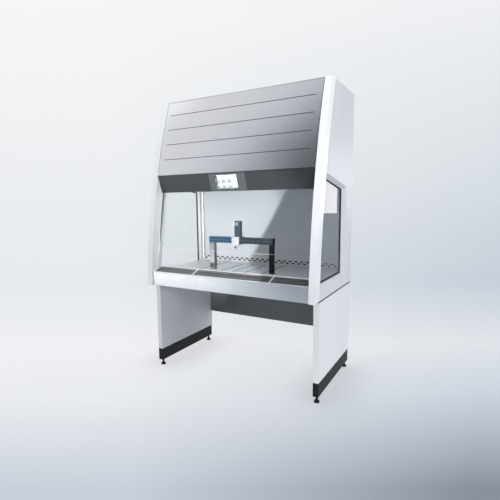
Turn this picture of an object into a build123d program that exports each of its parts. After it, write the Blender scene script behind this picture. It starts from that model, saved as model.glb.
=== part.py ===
from build123d import *
import math
import os

# Class II safety cabinet on a stand, with a dosing gantry on its work surface.
# Millimetres. X to the right, Y to the back, Z up. Origin: floor, centre of the footprint.

# ---- overall ----
WIDTH = 1500.0
DEPTH = 884.0
TOP_Z = 2300.0            # top of the side walls
CABINET_Z = 750.0         # underside of the side walls
BACK_Y = DEPTH / 2
HALF_W = WIDTH / 2

# ---- front curve, one arc from the floor of the cabinet to its top ----
FRONT_BOTTOM_Y = -DEPTH / 2
FRONT_MID_SETBACK = 92.0  # how far the arc has leaned back at mid height
FRONT_TOP_SETBACK = 300.0

# ---- side walls ----
WALL = 50.0               # side wall, outside face to chamber
POST_DEPTH = 86.0
POST_RADIUS = 12.0
POST_GAP = 3.0            # shadow gap between post and side panel
LINER = 6.0
GLASS = 6.0
WINDOW_BACK_Y = 270.0
WINDOW_BOTTOM_Z = 838.0
WINDOW_FRONT_TOP_Z = 1637.0
WINDOW_TOP_SLOPE = 9.5    # degrees, falls to the back
BEVEL_DEPTH = 30.0
BEVEL_BACK = 36.0
BEVEL_TOP = 24.0
BEVEL_BOTTOM = 18.0
GLASS_LAP = 14.0
PANEL_SKIN = 4.0          # sheet left outside the hollow of a side panel
PANEL_RIM = 14.0

# ---- stand ----
STAND_INSET = 6.0
STAND_WALL = 42.0
STAND_FRONT_Y = -344.0
STAND_BACK_Y = 430.0
PLINTH_BOTTOM_Z = 51.0
PLINTH_TOP_Z = 154.0
PLINTH_BACK_INSET = 12.0
SPACER = 10.0             # black frame between the stand and the cabinet
REAR_PANEL_BOTTOM_Z = 314.0
REAR_PANEL_THICK = 20.0
FOOT_INSET = 30.0
FOOT_PAD_R = 20.0
FOOT_PAD_H = 12.0
FOOT_STEM_R = 8.0
FOOT_TRAVEL = 20.0
TOP_DROP = 4.0            # roof sheet below the top of the side walls
ROOF_SHEET = 2.0
THREAD_CLEARANCE = 0.05

# ---- work area ----
WORKTOP_Z = 876.0
WORKTOP_THICK = 4.0
SHEET = 3.0
BACK_WALL_Y = 298.0
SLOT_W, SLOT_H = 30.0, 12.0
SLOT_PITCH = 55.0
SLOT_ROWS_UP = (18.0, 35.0)         # slot centres above the worktop
SEAM_LEFT_X, SEAM_RIGHT_X = -370.0, 212.0
SEAM_GAP = 3.0
DECK_GROOVES_X = (-160.0, -50.0, 62.0)
DECK_GROOVE_W, DECK_GROOVE_DEPTH = 6.0, 2.0
DECK_SLOT_Y = 183.0
DECK_SLOT_W = 10.0
SUMP_DEPTH = 86.0         # underside of the sump pan below the worktop

# ---- front grille and apron ----
APRON_Y = -427.0
APRON_BOTTOM_Z = 770.0
APRON_DROP = 14.0         # top of the apron below the worktop
GRILLE_FRONT_Y = -417.0
RIM_Y, RIM_UP = -312.0, 24.0
RIM_THICK = 6.0
DIVIDERS_X = (-300.0, 390.0)
DIVIDER_W = 9.0
GRILLE_MARGIN_FRONT, GRILLE_MARGIN_BACK = 8.0, 14.0
GRILLE_SLOT_W, GRILLE_SLOT_PITCH, GRILLE_SLOT_LEAN = 5.0, 13.0, 24.0

# ---- front cover and control fascia ----
COVER_BOTTOM_Z = 1668.0
COVER_TOP_Z = 2298.0
COVER_THICK = 24.0
COVER_SIDE_GAP = 4.0
COVER_SKIN, COVER_RIM = 3.0, 20.0   # sheet behind the grooves, and the folded rim
COVER_GROOVES = 4
COVER_GROOVE_W, COVER_GROOVE_DEPTH = 5.0, 3.0
COVER_GROOVE_END = 46.0   # plain margin at each side of the grooves
PIVOT_R = 5.0
PIVOT_INSERT = 14.0
RUNNING_CLEARANCE = 0.05
FASCIA_BOTTOM_Z = 1526.0
FASCIA_BOTTOM_Y = -272.0
FASCIA_SHELL = 4.0
SCREEN_X, SCREEN_W, SCREEN_H = -20.0, 177.0, 102.0
BEZEL_W, BEZEL_MARGIN, BEZEL_THICK = 327.0, 5.0, 3.0
SCREEN_Z = 26.0           # up the fascia from its lower edge

# ---- sliding sash, built upright in its own frame and then leaned back ----
SASH_LEAN = 10.0
SASH_Y, SASH_Z = -327.0, 1055.0     # lower front edge of the glass at rest
SASH_GLASS, SASH_HEIGHT = 8.0, 700.0
GUIDE_W, GUIDE_LIP, GUIDE_PLAY = 16.0, 6.0, 0.4
CARRIER_H = 28.0
BELT_INSET, BELT_W, BELT_T = 28.0, 10.0, 2.0   # inset from the chamber wall
PULLEY_R, SHAFT_R = 12.0, 6.0
SHAFT_N = 31.0            # shaft centre behind the front face of the glass
DRIVE_U, IDLER_U = 1092.0, 505.0
MOTOR_X = -20.0
GEARBOX_W, GEARBOX_H = 90.0, 52.0
MOTOR_CAN_R, MOTOR_CAN_L = 24.0, 110.0
EAR_HALF_H, EAR_REACH = 18.0, 14.0  # bearing ears on the guides

# ---- air path ----
DIFFUSER_Z = 1604.0
FILTER_FRONT_Y = -105.0
FILTER_HALF_W = 640.0
SHELF_H = 26.0
SUPPLY_FILTER_H = 90.0
PLENUM_H = 228.0
FAN_SIZE, FAN_H = 340.0, 170.0
IMPELLER_R, IMPELLER_H, IMPELLER_BLADES = 140.0, 90.0, 14
FAN_SHAFT_R, MOTOR_R = 8.0, 55.0
SUPPLY_FAN_X, EXHAUST_FAN_X = -330.0, 350.0
FAN_Y = 120.0
EXHAUST_FILTER_H = 84.0
COLLAR_R, COLLAR_WALL, COLLAR_H = 125.0, 2.0, 38.0
LAMP_R, LAMP_HALF = 13.0, 600.0

# ---- dosing gantry ----
GANTRY_Y = -137.0
GANTRY_HALF = 300.0
BEAM_Z0, BEAM_Z1, BEAM_DEPTH = 1105.0, 1155.0, 40.0
COLUMN_LEFT_W, COLUMN_LEFT_D = 50.0, 36.0
COLUMN_RIGHT_W, COLUMN_RIGHT_D = 38.0, 28.0
CARRIAGE_X, CARRIAGE_W, CARRIAGE_T = -20.0, 64.0, 18.0
SLIDE_CLEARANCE = 0.4
TOWER_W, TOWER_D, TOWER_TOP_Z = 50.0, 44.0, 1288.0
HEAD_W, HEAD_D, HEAD_Z0, HEAD_Z1 = 58.0, 30.0, 1092.0, 1160.0
NOZZLE_TIP_Z = 1058.0

# ---- derived ----
CHAMBER_X = HALF_W - WALL
LINER_X = CHAMBER_X + LINER
PANEL_INNER_X = LINER_X + GLASS
MID_Z = (CABINET_Z + TOP_Z) / 2
STAND_TOP_Z = CABINET_Z - SPACER
STAND_OUT_X = HALF_W - STAND_INSET
REAR_COVER_Y = BACK_Y - 8.0
RIM_Z = WORKTOP_Z + RIM_UP
APRON_TOP_Z = WORKTOP_Z - APRON_DROP
SUMP_BOTTOM_Z = WORKTOP_Z - SUMP_DEPTH
GUIDE_BOTTOM = (RIM_Z - SASH_Z) / math.cos(math.radians(SASH_LEAN))   # level with the rim
GRILLE_LEN = math.hypot(RIM_Y - GRILLE_FRONT_Y, RIM_Z - APRON_TOP_Z)
GRILLE_TILT = math.degrees(math.atan2(RIM_Z - APRON_TOP_Z, RIM_Y - GRILLE_FRONT_Y))
COVER_HALF = CHAMBER_X - COVER_SIDE_GAP
BELT_X = CHAMBER_X - BELT_INSET


def circle_through(p, q, r):
    """Centre and radius of the circle through three points of the YZ plane."""
    ax, ay, bx, by, cx, cy = *p, *q, *r
    d = 2 * (ax * (by - cy) + bx * (cy - ay) + cx * (ay - by))
    a2, b2, c2 = ax * ax + ay * ay, bx * bx + by * by, cx * cx + cy * cy
    ux = (a2 * (by - cy) + b2 * (cy - ay) + c2 * (ay - by)) / d
    uy = (a2 * (cx - bx) + b2 * (ax - cx) + c2 * (bx - ax)) / d
    return ux, uy, math.hypot(ax - ux, ay - uy)


ARC_Y, ARC_Z, ARC_R = circle_through(
    (FRONT_BOTTOM_Y, CABINET_Z),
    (FRONT_BOTTOM_Y + FRONT_MID_SETBACK, MID_Z),
    (FRONT_BOTTOM_Y + FRONT_TOP_SETBACK, TOP_Z),
)


def front_y(z, inset=0.0):
    """Y of the front curve at height z, inset by so much behind its face."""
    radius = ARC_R - inset
    return ARC_Y - math.sqrt(radius * radius - (z - ARC_Z) ** 2)


def box(x0, x1, y0, y1, z0, z1):
    size = (x1 - x0, y1 - y0, z1 - z0)
    return Pos((x0 + x1) / 2, (y0 + y1) / 2, (z0 + z1) / 2) * Box(*size)


def rod(x0, x1, y, z, radius):
    """A cylinder along X."""
    return Pos((x0 + x1) / 2, y, z) * Rot(0, 90, 0) * Cylinder(radius, x1 - x0)


def post(x, y, z0, z1, radius):
    """A cylinder along Z."""
    return Pos(x, y, (z0 + z1) / 2) * Cylinder(radius, z1 - z0)


def side_shape(x0, x1, edges):
    """A prism along X from an outline in the YZ plane."""
    return Pos(x0, 0, 0) * extrude(Plane.YZ * make_face(edges), x1 - x0)


def polygon(points):
    return [Line(a, b) for a, b in zip(points, points[1:] + points[:1])]


def arc_at(inset, z0, z1):
    zm = (z0 + z1) / 2
    ends = [(front_y(z, inset), z) for z in (z0, zm, z1)]
    return ThreePointArc(*ends)


def band(x0, x1, inset0, inset1, z0, z1):
    """A curved slab between two depths behind the front curve."""
    front, back = arc_at(inset0, z0, z1), arc_at(inset1, z0, z1)
    return side_shape(x0, x1, [front, Line(front @ 1, back @ 1), back, Line(back @ 0, front @ 0)])


def sash_frame(shape):
    """From the sash's upright frame (x, behind the glass, up the glass) to its place."""
    return Pos(0, SASH_Y, SASH_Z) * Rot(-SASH_LEAN, 0, 0) * shape


def mirrored(shape):
    return mirror(shape, about=Plane.YZ)


# ---------------------------------------------------------------- stand
def stand_gable():
    x1 = STAND_OUT_X
    return box(x1 - STAND_WALL, x1, STAND_FRONT_Y, STAND_BACK_Y, PLINTH_TOP_Z, STAND_TOP_Z)


def foot_places():
    y0 = STAND_FRONT_Y + FOOT_INSET
    y1 = STAND_BACK_Y - PLINTH_BACK_INSET - FOOT_INSET
    return STAND_OUT_X - STAND_WALL / 2, y0, y1


def plinth():
    x, y0, y1 = foot_places()
    body = box(STAND_OUT_X - STAND_WALL, STAND_OUT_X, STAND_FRONT_Y,
               STAND_BACK_Y - PLINTH_BACK_INSET, PLINTH_BOTTOM_Z, PLINTH_TOP_Z)
    for y in (y0, y1):
        body -= post(x, y, PLINTH_BOTTOM_Z, PLINTH_TOP_Z - 10, FOOT_STEM_R + THREAD_CLEARANCE)
    return body


def foot(x, y):
    pad = post(x, y, 0, FOOT_PAD_H, FOOT_PAD_R)
    pad = fillet(pad.edges().sort_by(Axis.Z)[-1], 4)
    hexagon = Pos(x, y, FOOT_PAD_H) * extrude(RegularPolygon(12, 6), 8)
    stem = post(x, y, FOOT_PAD_H, PLINTH_BOTTOM_Z + FOOT_TRAVEL + 20, FOOT_STEM_R)
    return pad + hexagon + stem


def stand_rear_panel():
    x = STAND_OUT_X - STAND_WALL
    y1 = STAND_BACK_Y
    return box(-x, x, y1 - REAR_PANEL_THICK, y1, REAR_PANEL_BOTTOM_Z, STAND_TOP_Z)


def stand_top_frame():
    x, rail = STAND_OUT_X, STAND_WALL
    frame = box(-x, x, STAND_FRONT_Y, STAND_BACK_Y, STAND_TOP_Z, CABINET_Z)
    return frame - box(-x + rail, x - rail, STAND_FRONT_Y + rail, STAND_BACK_Y - rail,
                       STAND_TOP_Z, CABINET_Z)


# ---------------------------------------------------------------- side walls
def pivot_place():
    z = COVER_TOP_Z - COVER_THICK / 2
    return front_y(z, COVER_THICK / 2), z


def front_post():
    body = band(CHAMBER_X, HALF_W, 0, POST_DEPTH, CABINET_Z, TOP_Z)
    outer = [e for e in body.edges() if abs((e @ 0.5).X - HALF_W) < 0.01]
    body = fillet(sorted(outer, key=lambda e: (e @ 0.5).Y)[0], POST_RADIUS)
    y, z = pivot_place()
    return body - rod(CHAMBER_X, CHAMBER_X + PIVOT_INSERT, y, z, PIVOT_R)


def window_outline(inset_top, inset_back, inset_bottom):
    """Window edge lines, open past the front edge of the panel."""
    slope = math.tan(math.radians(WINDOW_TOP_SLOPE))
    ref_y = front_y(WINDOW_FRONT_TOP_Z, POST_DEPTH)
    y0, y1 = FRONT_BOTTOM_Y, WINDOW_BACK_Y - inset_back
    z0 = WINDOW_BOTTOM_Z + inset_bottom

    def top(y):
        return WINDOW_FRONT_TOP_Z - inset_top - slope * (y - ref_y)

    return [(y0, z0), (y1, z0), (y1, top(y1)), (y0, top(y0))]


def yz_face(x, points):
    return Pos(x, 0, 0) * (Plane.YZ * make_face(polygon(points)))


def window_cut():
    """Bevelled outside, straight through the rest of the panel."""
    outer = window_outline(0, 0, 0)
    inner = window_outline(BEVEL_TOP, BEVEL_BACK, BEVEL_BOTTOM)
    bevel = loft([yz_face(HALF_W - BEVEL_DEPTH, inner), yz_face(HALF_W, outer)])
    through = side_shape(PANEL_INNER_X, HALF_W - BEVEL_DEPTH, polygon(inner))
    return bevel + through


def side_panel():
    front = arc_at(POST_DEPTH + POST_GAP, CABINET_Z, TOP_Z)
    top, bottom = Line(front @ 1, (BACK_Y, TOP_Z)), Line((BACK_Y, CABINET_Z), front @ 0)
    back = Line((BACK_Y, TOP_Z), (BACK_Y, CABINET_Z))
    body = side_shape(PANEL_INNER_X, HALF_W, [front, top, back, bottom])
    return body - window_cut() - panel_hollow()


def panel_hollow():
    """The side panel is a folded tray, open to the inside above and behind the window."""
    x0, x1 = PANEL_INNER_X, HALF_W - PANEL_SKIN
    window_top = WINDOW_FRONT_TOP_Z + PANEL_RIM
    upper = band(x0, x1, POST_DEPTH + POST_GAP + PANEL_RIM, DEPTH, window_top, TOP_Z - PANEL_RIM)
    upper &= box(x0, x1, FRONT_BOTTOM_Y, BACK_Y - PANEL_RIM, CABINET_Z, TOP_Z)
    rear = box(x0, x1, WINDOW_BACK_Y + PANEL_RIM, BACK_Y - PANEL_RIM, CABINET_Z + PANEL_RIM,
               window_top - PANEL_RIM)
    return upper + rear


def side_window():
    inner = window_outline(BEVEL_TOP - GLASS_LAP, BEVEL_BACK - GLASS_LAP, BEVEL_BOTTOM - GLASS_LAP)
    sheet = side_shape(LINER_X, PANEL_INNER_X, polygon(inner))
    behind_post = band(LINER_X, PANEL_INNER_X, POST_DEPTH, DEPTH, CABINET_Z, TOP_Z)
    return sheet & behind_post


def inner_liner():
    front = arc_at(POST_DEPTH, SUMP_BOTTOM_Z, DIFFUSER_Z)
    corner_top, corner_bottom = (BACK_WALL_Y, DIFFUSER_Z), (BACK_WALL_Y, SUMP_BOTTOM_Z)
    outline = [front, Line(front @ 1, corner_top), Line(corner_top, corner_bottom),
               Line(corner_bottom, front @ 0)]
    body = side_shape(CHAMBER_X, LINER_X, outline)
    return body - side_shape(CHAMBER_X, LINER_X, polygon(
        window_outline(BEVEL_TOP, BEVEL_BACK, BEVEL_BOTTOM)))


# ---------------------------------------------------------------- outer shell
def rear_panel():
    x = PANEL_INNER_X
    return box(-x, x, REAR_COVER_Y, REAR_COVER_Y + ROOF_SHEET, CABINET_Z, TOP_Z - TOP_DROP)


def rear_panel_screws():
    x, y = PANEL_INNER_X - 18, REAR_COVER_Y + ROOF_SHEET
    steps = 6
    screws = []
    for i in range(steps):
        z = CABINET_Z + 40 + i * (TOP_Z - CABINET_Z - 90) / (steps - 1)
        for side in (-x, x):
            head = Pos(side, y + 1.5, z) * Rot(90, 0, 0) * Cylinder(6, 3)
            screws.append(head - Pos(side, y + 3, z) * Box(9, 2, 1.6))
    return Compound(screws)


def top_panel():
    x, z = PANEL_INNER_X, TOP_Z - TOP_DROP
    pivot_y, _ = pivot_place()
    y0 = pivot_y + COVER_THICK / 2 + 2
    y1, z1 = REAR_COVER_Y + ROOF_SHEET, z + ROOF_SHEET
    middle = box(-CHAMBER_X, CHAMBER_X, y0, y1, z, z1)
    rear = box(-x, x, front_y(z, POST_DEPTH + POST_GAP), y1, z, z1)
    lip = box(-CHAMBER_X, CHAMBER_X, y0, y0 + ROOF_SHEET, z - 20, z)
    return middle + rear + lip - post(EXHAUST_FAN_X, FAN_Y, z, z1, COLLAR_R - COLLAR_WALL)


def exhaust_collar():
    z = TOP_Z - TOP_DROP + ROOF_SHEET
    flange = post(EXHAUST_FAN_X, FAN_Y, z, z + 3, COLLAR_R + 22)
    tube = post(EXHAUST_FAN_X, FAN_Y, z, z + COLLAR_H, COLLAR_R)
    return flange + tube - post(EXHAUST_FAN_X, FAN_Y, z, z + COLLAR_H, COLLAR_R - COLLAR_WALL)


def base_panel():
    x = CHAMBER_X
    return box(-x, x, APRON_Y + SHEET, REAR_COVER_Y, CABINET_Z, CABINET_Z + SHEET)


def back_wall():
    body = box(-CHAMBER_X, CHAMBER_X, BACK_WALL_Y, BACK_WALL_Y + SHEET, CABINET_Z + SHEET, DIFFUSER_Z)
    count = int((2 * CHAMBER_X - SLOT_W - 20) // SLOT_PITCH)
    cuts = []
    for row, up in enumerate(SLOT_ROWS_UP):
        for i in range(count + 1 - row):
            x = (i + row / 2 - count / 2) * SLOT_PITCH
            slot = SlotOverall(SLOT_W, SLOT_H)
            place = Pos(x, BACK_WALL_Y + SHEET, WORKTOP_Z + up) * Rot(90, 0, 0)
            cuts.append(place * extrude(slot, SHEET))
    return body - cuts


# ---------------------------------------------------------------- work area
def sump_pan():
    x, y0, y1 = CHAMBER_X - 1, APRON_Y + SHEET + 1, BACK_WALL_Y
    top = WORKTOP_Z - WORKTOP_THICK
    front_top = APRON_TOP_Z - 14
    body = box(-x, x, y0, y1, SUMP_BOTTOM_Z, top)
    body -= box(-x + SHEET, x - SHEET, y0 + SHEET, y1 - SHEET, SUMP_BOTTOM_Z + SHEET, top)
    body -= box(-x, x, y0, RIM_Y, front_top, top)
    for seam in (SEAM_LEFT_X, SEAM_RIGHT_X):
        body += box(seam - 12, seam + 12, RIM_Y + 8, y1 - SHEET, top - 30, top)
    body += box(-x, x, RIM_Y + 8, RIM_Y + 14, top - 30, top)
    return body


def worktop(x0, x1):
    y0, y1 = RIM_Y + RIM_THICK + 1, BACK_WALL_Y - 1
    return box(x0, x1, y0, y1, WORKTOP_Z - WORKTOP_THICK, WORKTOP_Z)


def worktop_left():
    return worktop(-CHAMBER_X + 2, SEAM_LEFT_X - SEAM_GAP / 2)


def worktop_right():
    return worktop(SEAM_RIGHT_X + SEAM_GAP / 2, CHAMBER_X - 2)


def deck_plate():
    body = worktop(SEAM_LEFT_X + SEAM_GAP / 2, SEAM_RIGHT_X - SEAM_GAP / 2)
    for x in DECK_GROOVES_X:
        body -= box(x - DECK_GROOVE_W / 2, x + DECK_GROOVE_W / 2, RIM_Y + 20,
                    DECK_SLOT_Y - DECK_SLOT_W, WORKTOP_Z - DECK_GROOVE_DEPTH, WORKTOP_Z)
    for a, b in zip(DECK_GROOVES_X, DECK_GROOVES_X[1:]):
        body -= box(a + 10, b - 10, DECK_SLOT_Y - DECK_SLOT_W / 2, DECK_SLOT_Y + DECK_SLOT_W / 2,
                    WORKTOP_Z - WORKTOP_THICK, WORKTOP_Z)
    return body


def grille_place(shape):
    """From a flat frame (x, up the slope, out of it) to the slope."""
    return Pos(0, GRILLE_FRONT_Y, APRON_TOP_Z) * Rot(GRILLE_TILT, 0, 0) * shape


def grille_sections():
    edges = [-CHAMBER_X + 8, *DIVIDERS_X, CHAMBER_X - 8]
    margins = [0, DIVIDER_W / 2, DIVIDER_W / 2, 0]
    return [(edges[i] + margins[i], edges[i + 1] - margins[i + 1]) for i in range(3)]


def grille_frame():
    x = CHAMBER_X - 1
    y0, y1 = GRILLE_MARGIN_FRONT, GRILLE_LEN - GRILLE_MARGIN_BACK
    sheet = box(-x, x, 0, GRILLE_LEN, -SHEET, 0)
    for a, b in grille_sections():
        sheet -= box(a, b, y0, y1, -SHEET, 0)
    rim_back = box(-x, x, RIM_Y, RIM_Y + RIM_THICK, WORKTOP_Z - WORKTOP_THICK, RIM_Z)
    return grille_place(sheet) + rim_back


def grille(section):
    a, b = grille_sections()[section]
    y0, y1 = GRILLE_MARGIN_FRONT, GRILLE_LEN - GRILLE_MARGIN_BACK
    plate = box(a + 0.3, b - 0.3, y0 + 0.3, y1 - 0.3, -SHEET - 1, -1)
    lap = box(a - 3, b + 3, y0 - 3, y1 + 3, -SHEET - 3, -SHEET)
    lap -= box(a + 3, b - 3, y0 + 3, y1 - 3, -SHEET - 3, -SHEET)
    row_len = (y1 - y0) / 2 - 9
    count = int((b - a - 30) // GRILLE_SLOT_PITCH)
    cuts = []
    for i in range(count):
        x = (a + b) / 2 + (i - (count - 1) / 2) * GRILLE_SLOT_PITCH
        for side in (-1, 1):
            y = (y0 + y1) / 2 + side * (row_len / 2 + 1.5)
            slot = Box(GRILLE_SLOT_W, row_len, 3 * SHEET)
            cuts.append(Pos(x, y, -SHEET) * Rot(0, 0, side * GRILLE_SLOT_LEAN) * slot)
    return grille_place(plate + lap - cuts)


def apron():
    y0, x = APRON_Y, CHAMBER_X
    face = box(-x, x, y0, y0 + SHEET, APRON_BOTTOM_Z, APRON_TOP_Z)
    top = box(-x, x, y0, GRILLE_FRONT_Y, APRON_TOP_Z - SHEET, APRON_TOP_Z)
    face = fillet((face + top).edges().filter_by(Axis.X).group_by(Axis.Z)[-1].sort_by(Axis.Y)[0], 2.5)
    return face + box(-x, x, y0 + SHEET, y0 + 30, CABINET_Z + SHEET, CABINET_Z + 2 * SHEET) + box(
        -x, x, y0 + SHEET, y0 + 2 * SHEET, CABINET_Z + SHEET, SUMP_BOTTOM_Z - 2)


# ---------------------------------------------------------------- cover and fascia
def front_cover():
    x = COVER_HALF
    pivot_y, pivot_z = pivot_place()
    body = band(-x, x, 0, COVER_THICK, COVER_BOTTOM_Z, pivot_z)
    body += rod(-x, x, pivot_y, pivot_z, COVER_THICK / 2)
    skin, rim = COVER_SKIN + COVER_GROOVE_DEPTH, COVER_RIM
    body -= band(-x + rim, x - rim, skin, COVER_THICK, COVER_BOTTOM_Z + rim, pivot_z - rim)
    pitch = (COVER_TOP_Z - COVER_BOTTOM_Z) / (COVER_GROOVES + 1)
    reach = x - COVER_GROOVE_END
    for i in range(1, COVER_GROOVES + 1):
        z = COVER_BOTTOM_Z + 4 + i * pitch
        y = front_y(z)
        body -= box(-reach, reach, y - 5, y + COVER_GROOVE_DEPTH, z - COVER_GROOVE_W / 2,
                    z + COVER_GROOVE_W / 2)
    for side in (-1, 1):
        a, b = sorted((side * x, side * (x - PIVOT_INSERT)))
        body -= rod(a, b, pivot_y, pivot_z, PIVOT_R + RUNNING_CLEARANCE)
    return body


def cover_pivot_pins():
    y, z = pivot_place()
    inner = COVER_HALF - PIVOT_INSERT + 1
    pin = rod(inner, CHAMBER_X + PIVOT_INSERT, y, z, PIVOT_R)
    return Compound([pin, mirrored(pin)])


def fascia_top():
    z = COVER_BOTTOM_Z - COVER_SIDE_GAP
    return front_y(z, 2), z


def sash_face_y(z, behind=0.0):
    """Y of a plane parallel to the sash glass, so far behind its front face."""
    lean = math.radians(SASH_LEAN)
    return SASH_Y + (z - SASH_Z) * math.tan(lean) + behind / math.cos(lean)


def fascia_outline(wall):
    top_y, top_z = fascia_top()
    z0 = FASCIA_BOTTOM_Z + wall
    run = (FASCIA_BOTTOM_Y - top_y) / (top_z - FASCIA_BOTTOM_Z)
    clear = GUIDE_LIP + 2 + wall
    front_bottom = FASCIA_BOTTOM_Y + wall - run * wall
    return [(top_y + wall, top_z), (front_bottom, z0), (sash_face_y(z0, -clear), z0),
            (sash_face_y(top_z, -clear), top_z)]


def fascia_place(shape):
    """From a flat frame (x, behind the face, up the face) to the fascia."""
    top_y, top_z = fascia_top()
    lean = math.degrees(math.atan2(FASCIA_BOTTOM_Y - top_y, top_z - FASCIA_BOTTOM_Z))
    return Pos(0, FASCIA_BOTTOM_Y, FASCIA_BOTTOM_Z) * Rot(lean, 0, 0) * shape


def fascia_length():
    top_y, top_z = fascia_top()
    return math.hypot(FASCIA_BOTTOM_Y - top_y, top_z - FASCIA_BOTTOM_Z)


def bezel_box(play, back):
    x0, x1 = SCREEN_X - BEZEL_W / 2, SCREEN_X + BEZEL_W / 2
    z0, z1 = BEZEL_MARGIN, fascia_length() - BEZEL_MARGIN
    return box(x0 - play, x1 + play, -1 if play else 0, back, z0 - play, z1 + play)


def screen_box(play, front, back):
    x0, x1 = SCREEN_X - SCREEN_W / 2, SCREEN_X + SCREEN_W / 2
    return box(x0 - play, x1 + play, front, back, SCREEN_Z - play, SCREEN_Z + SCREEN_H + play)


def control_fascia():
    x, wall = CHAMBER_X, FASCIA_SHELL
    body = side_shape(-x, x, polygon(fascia_outline(0)))
    body -= side_shape(-x + wall, x - wall, polygon(fascia_outline(wall)))
    return body - fascia_place(bezel_box(0.3, BEZEL_THICK)) - fascia_place(screen_box(0.3, 0, 8))


def display_bezel():
    return fascia_place(bezel_box(0, BEZEL_THICK) - screen_box(0.2, -1, BEZEL_THICK))


def display_screen():
    return fascia_place(screen_box(0, 0.4, 7))


# ---------------------------------------------------------------- sash and its drive
def sash_glass():
    x = CHAMBER_X - GUIDE_W / 2
    sheet = box(-x, x, 0, SASH_GLASS, 0, SASH_HEIGHT)
    return sash_frame(fillet(sheet.edges().filter_by(Axis.X).group_by(Axis.Z)[0], 2))


def sash_carrier():
    x = CHAMBER_X - GUIDE_W - 1.5
    z0, z1 = SASH_HEIGHT - 12, SASH_HEIGHT - 12 + CARRIER_H
    body = box(-x, x, -5, SASH_GLASS + 4, z0, z1) - box(-x, x, 0, SASH_GLASS, z0, SASH_HEIGHT)
    run = SHAFT_N - PULLEY_R - BELT_T
    for side in (-1, 1):
        a, b = sorted((side * BELT_X, side * (BELT_X + BELT_W)))
        body += box(a, b, SASH_GLASS + 4, run - 0.3, z0, z1)
    return sash_frame(body)


def sash_guide():
    """Channel for the glass, with ears that carry the belt shafts."""
    x0, x1 = CHAMBER_X - GUIDE_W, CHAMBER_X
    n0, n1 = -GUIDE_LIP, SASH_GLASS + GUIDE_LIP
    top = DRIVE_U + PULLEY_R + 6
    body = box(x0, x1, n0, n1, GUIDE_BOTTOM, top)
    body -= box(x0, CHAMBER_X - GUIDE_W / 2 + 0.6, -GUIDE_PLAY, SASH_GLASS + GUIDE_PLAY,
                GUIDE_BOTTOM, top)
    for u in (DRIVE_U, IDLER_U):
        body += box(x1 - GUIDE_W / 2, x1, n1 - 1, SHAFT_N + EAR_REACH, u - EAR_HALF_H, u + EAR_HALF_H)
        body -= rod(x1 - GUIDE_W / 2, x1, SHAFT_N, u, SHAFT_R + RUNNING_CLEARANCE)
    return sash_frame(body)


def belt():
    def outline(radius):
        top, bottom = (SHAFT_N, DRIVE_U), (SHAFT_N, IDLER_U)
        straight = box(BELT_X, BELT_X + BELT_W, SHAFT_N - radius, SHAFT_N + radius, IDLER_U, DRIVE_U)
        ends = [rod(BELT_X, BELT_X + BELT_W, *end, radius) for end in (top, bottom)]
        return straight + ends
    return sash_frame(outline(PULLEY_R + BELT_T) - outline(PULLEY_R + 0.3))


def sash_belts():
    loop = belt()
    return Compound([loop, mirrored(loop)])


def pulley(u):
    x0, x1 = BELT_X - 2, BELT_X + BELT_W + 1
    wheel = rod(x0, x1, SHAFT_N, u, PULLEY_R)
    return wheel


def sash_drive_shaft():
    x = CHAMBER_X - 0.5
    body = rod(-x, x, SHAFT_N, DRIVE_U, SHAFT_R)
    wheel = pulley(DRIVE_U)
    return sash_frame(body + wheel + mirrored(wheel))


def sash_idlers():
    wheel = pulley(IDLER_U) + rod(BELT_X - 4, CHAMBER_X - 0.5, SHAFT_N, IDLER_U, SHAFT_R)
    wheel = sash_frame(wheel)
    return Compound([wheel, mirrored(wheel)])


def sash_motor():
    x0, x1, half = MOTOR_X, MOTOR_X + GEARBOX_W, GEARBOX_H / 2
    n0 = SASH_GLASS + 7
    n1 = SHAFT_N + 34
    gearbox = box(x0, x1, n0, n1, DRIVE_U - half, DRIVE_U + half)
    can = rod(x0 - MOTOR_CAN_L, x0, (n0 + n1) / 2 + 30, DRIVE_U, MOTOR_CAN_R)
    can += box(x0, x1, n1, n1 + 40, DRIVE_U - half, DRIVE_U + half)
    bore = rod(x0, x1, SHAFT_N, DRIVE_U, SHAFT_R + RUNNING_CLEARANCE)
    motor = sash_frame(gearbox + can - bore)
    y = sash_face_y(SASH_Z + DRIVE_U, n1 + 30)
    return motor + box(x0 + 10, x1 - 10, y, y + 5, SASH_Z + DRIVE_U - 20, TOP_Z - TOP_DROP)


# ---------------------------------------------------------------- air path
def diffuser_plate():
    x, y0 = CHAMBER_X, FILTER_FRONT_Y - 40
    body = box(-x, x, y0, BACK_WALL_Y, DIFFUSER_Z, DIFFUSER_Z + SHEET)
    rows, columns = 7, 24
    cuts = []
    for i in range(columns):
        for j in range(rows):
            cx = (i - (columns - 1) / 2) * (2 * x - 60) / columns
            cy = (y0 + BACK_WALL_Y) / 2 + (j - (rows - 1) / 2) * (BACK_WALL_Y - y0 - 40) / rows
            cuts.append(box(cx - 20, cx + 20, cy - 5, cy + 5, DIFFUSER_Z, DIFFUSER_Z + SHEET))
    return body - cuts


def filter_shelf():
    z0 = DIFFUSER_Z + SHEET
    x, y0, y1 = PANEL_INNER_X, FILTER_FRONT_Y - 10, BACK_WALL_Y
    body = box(-x, x, y0, y1, z0, z0 + SHELF_H)
    return body - box(-FILTER_HALF_W + 30, FILTER_HALF_W - 30, y0 + 30, y1 - 30, z0, z0 + SHELF_H)


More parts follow.
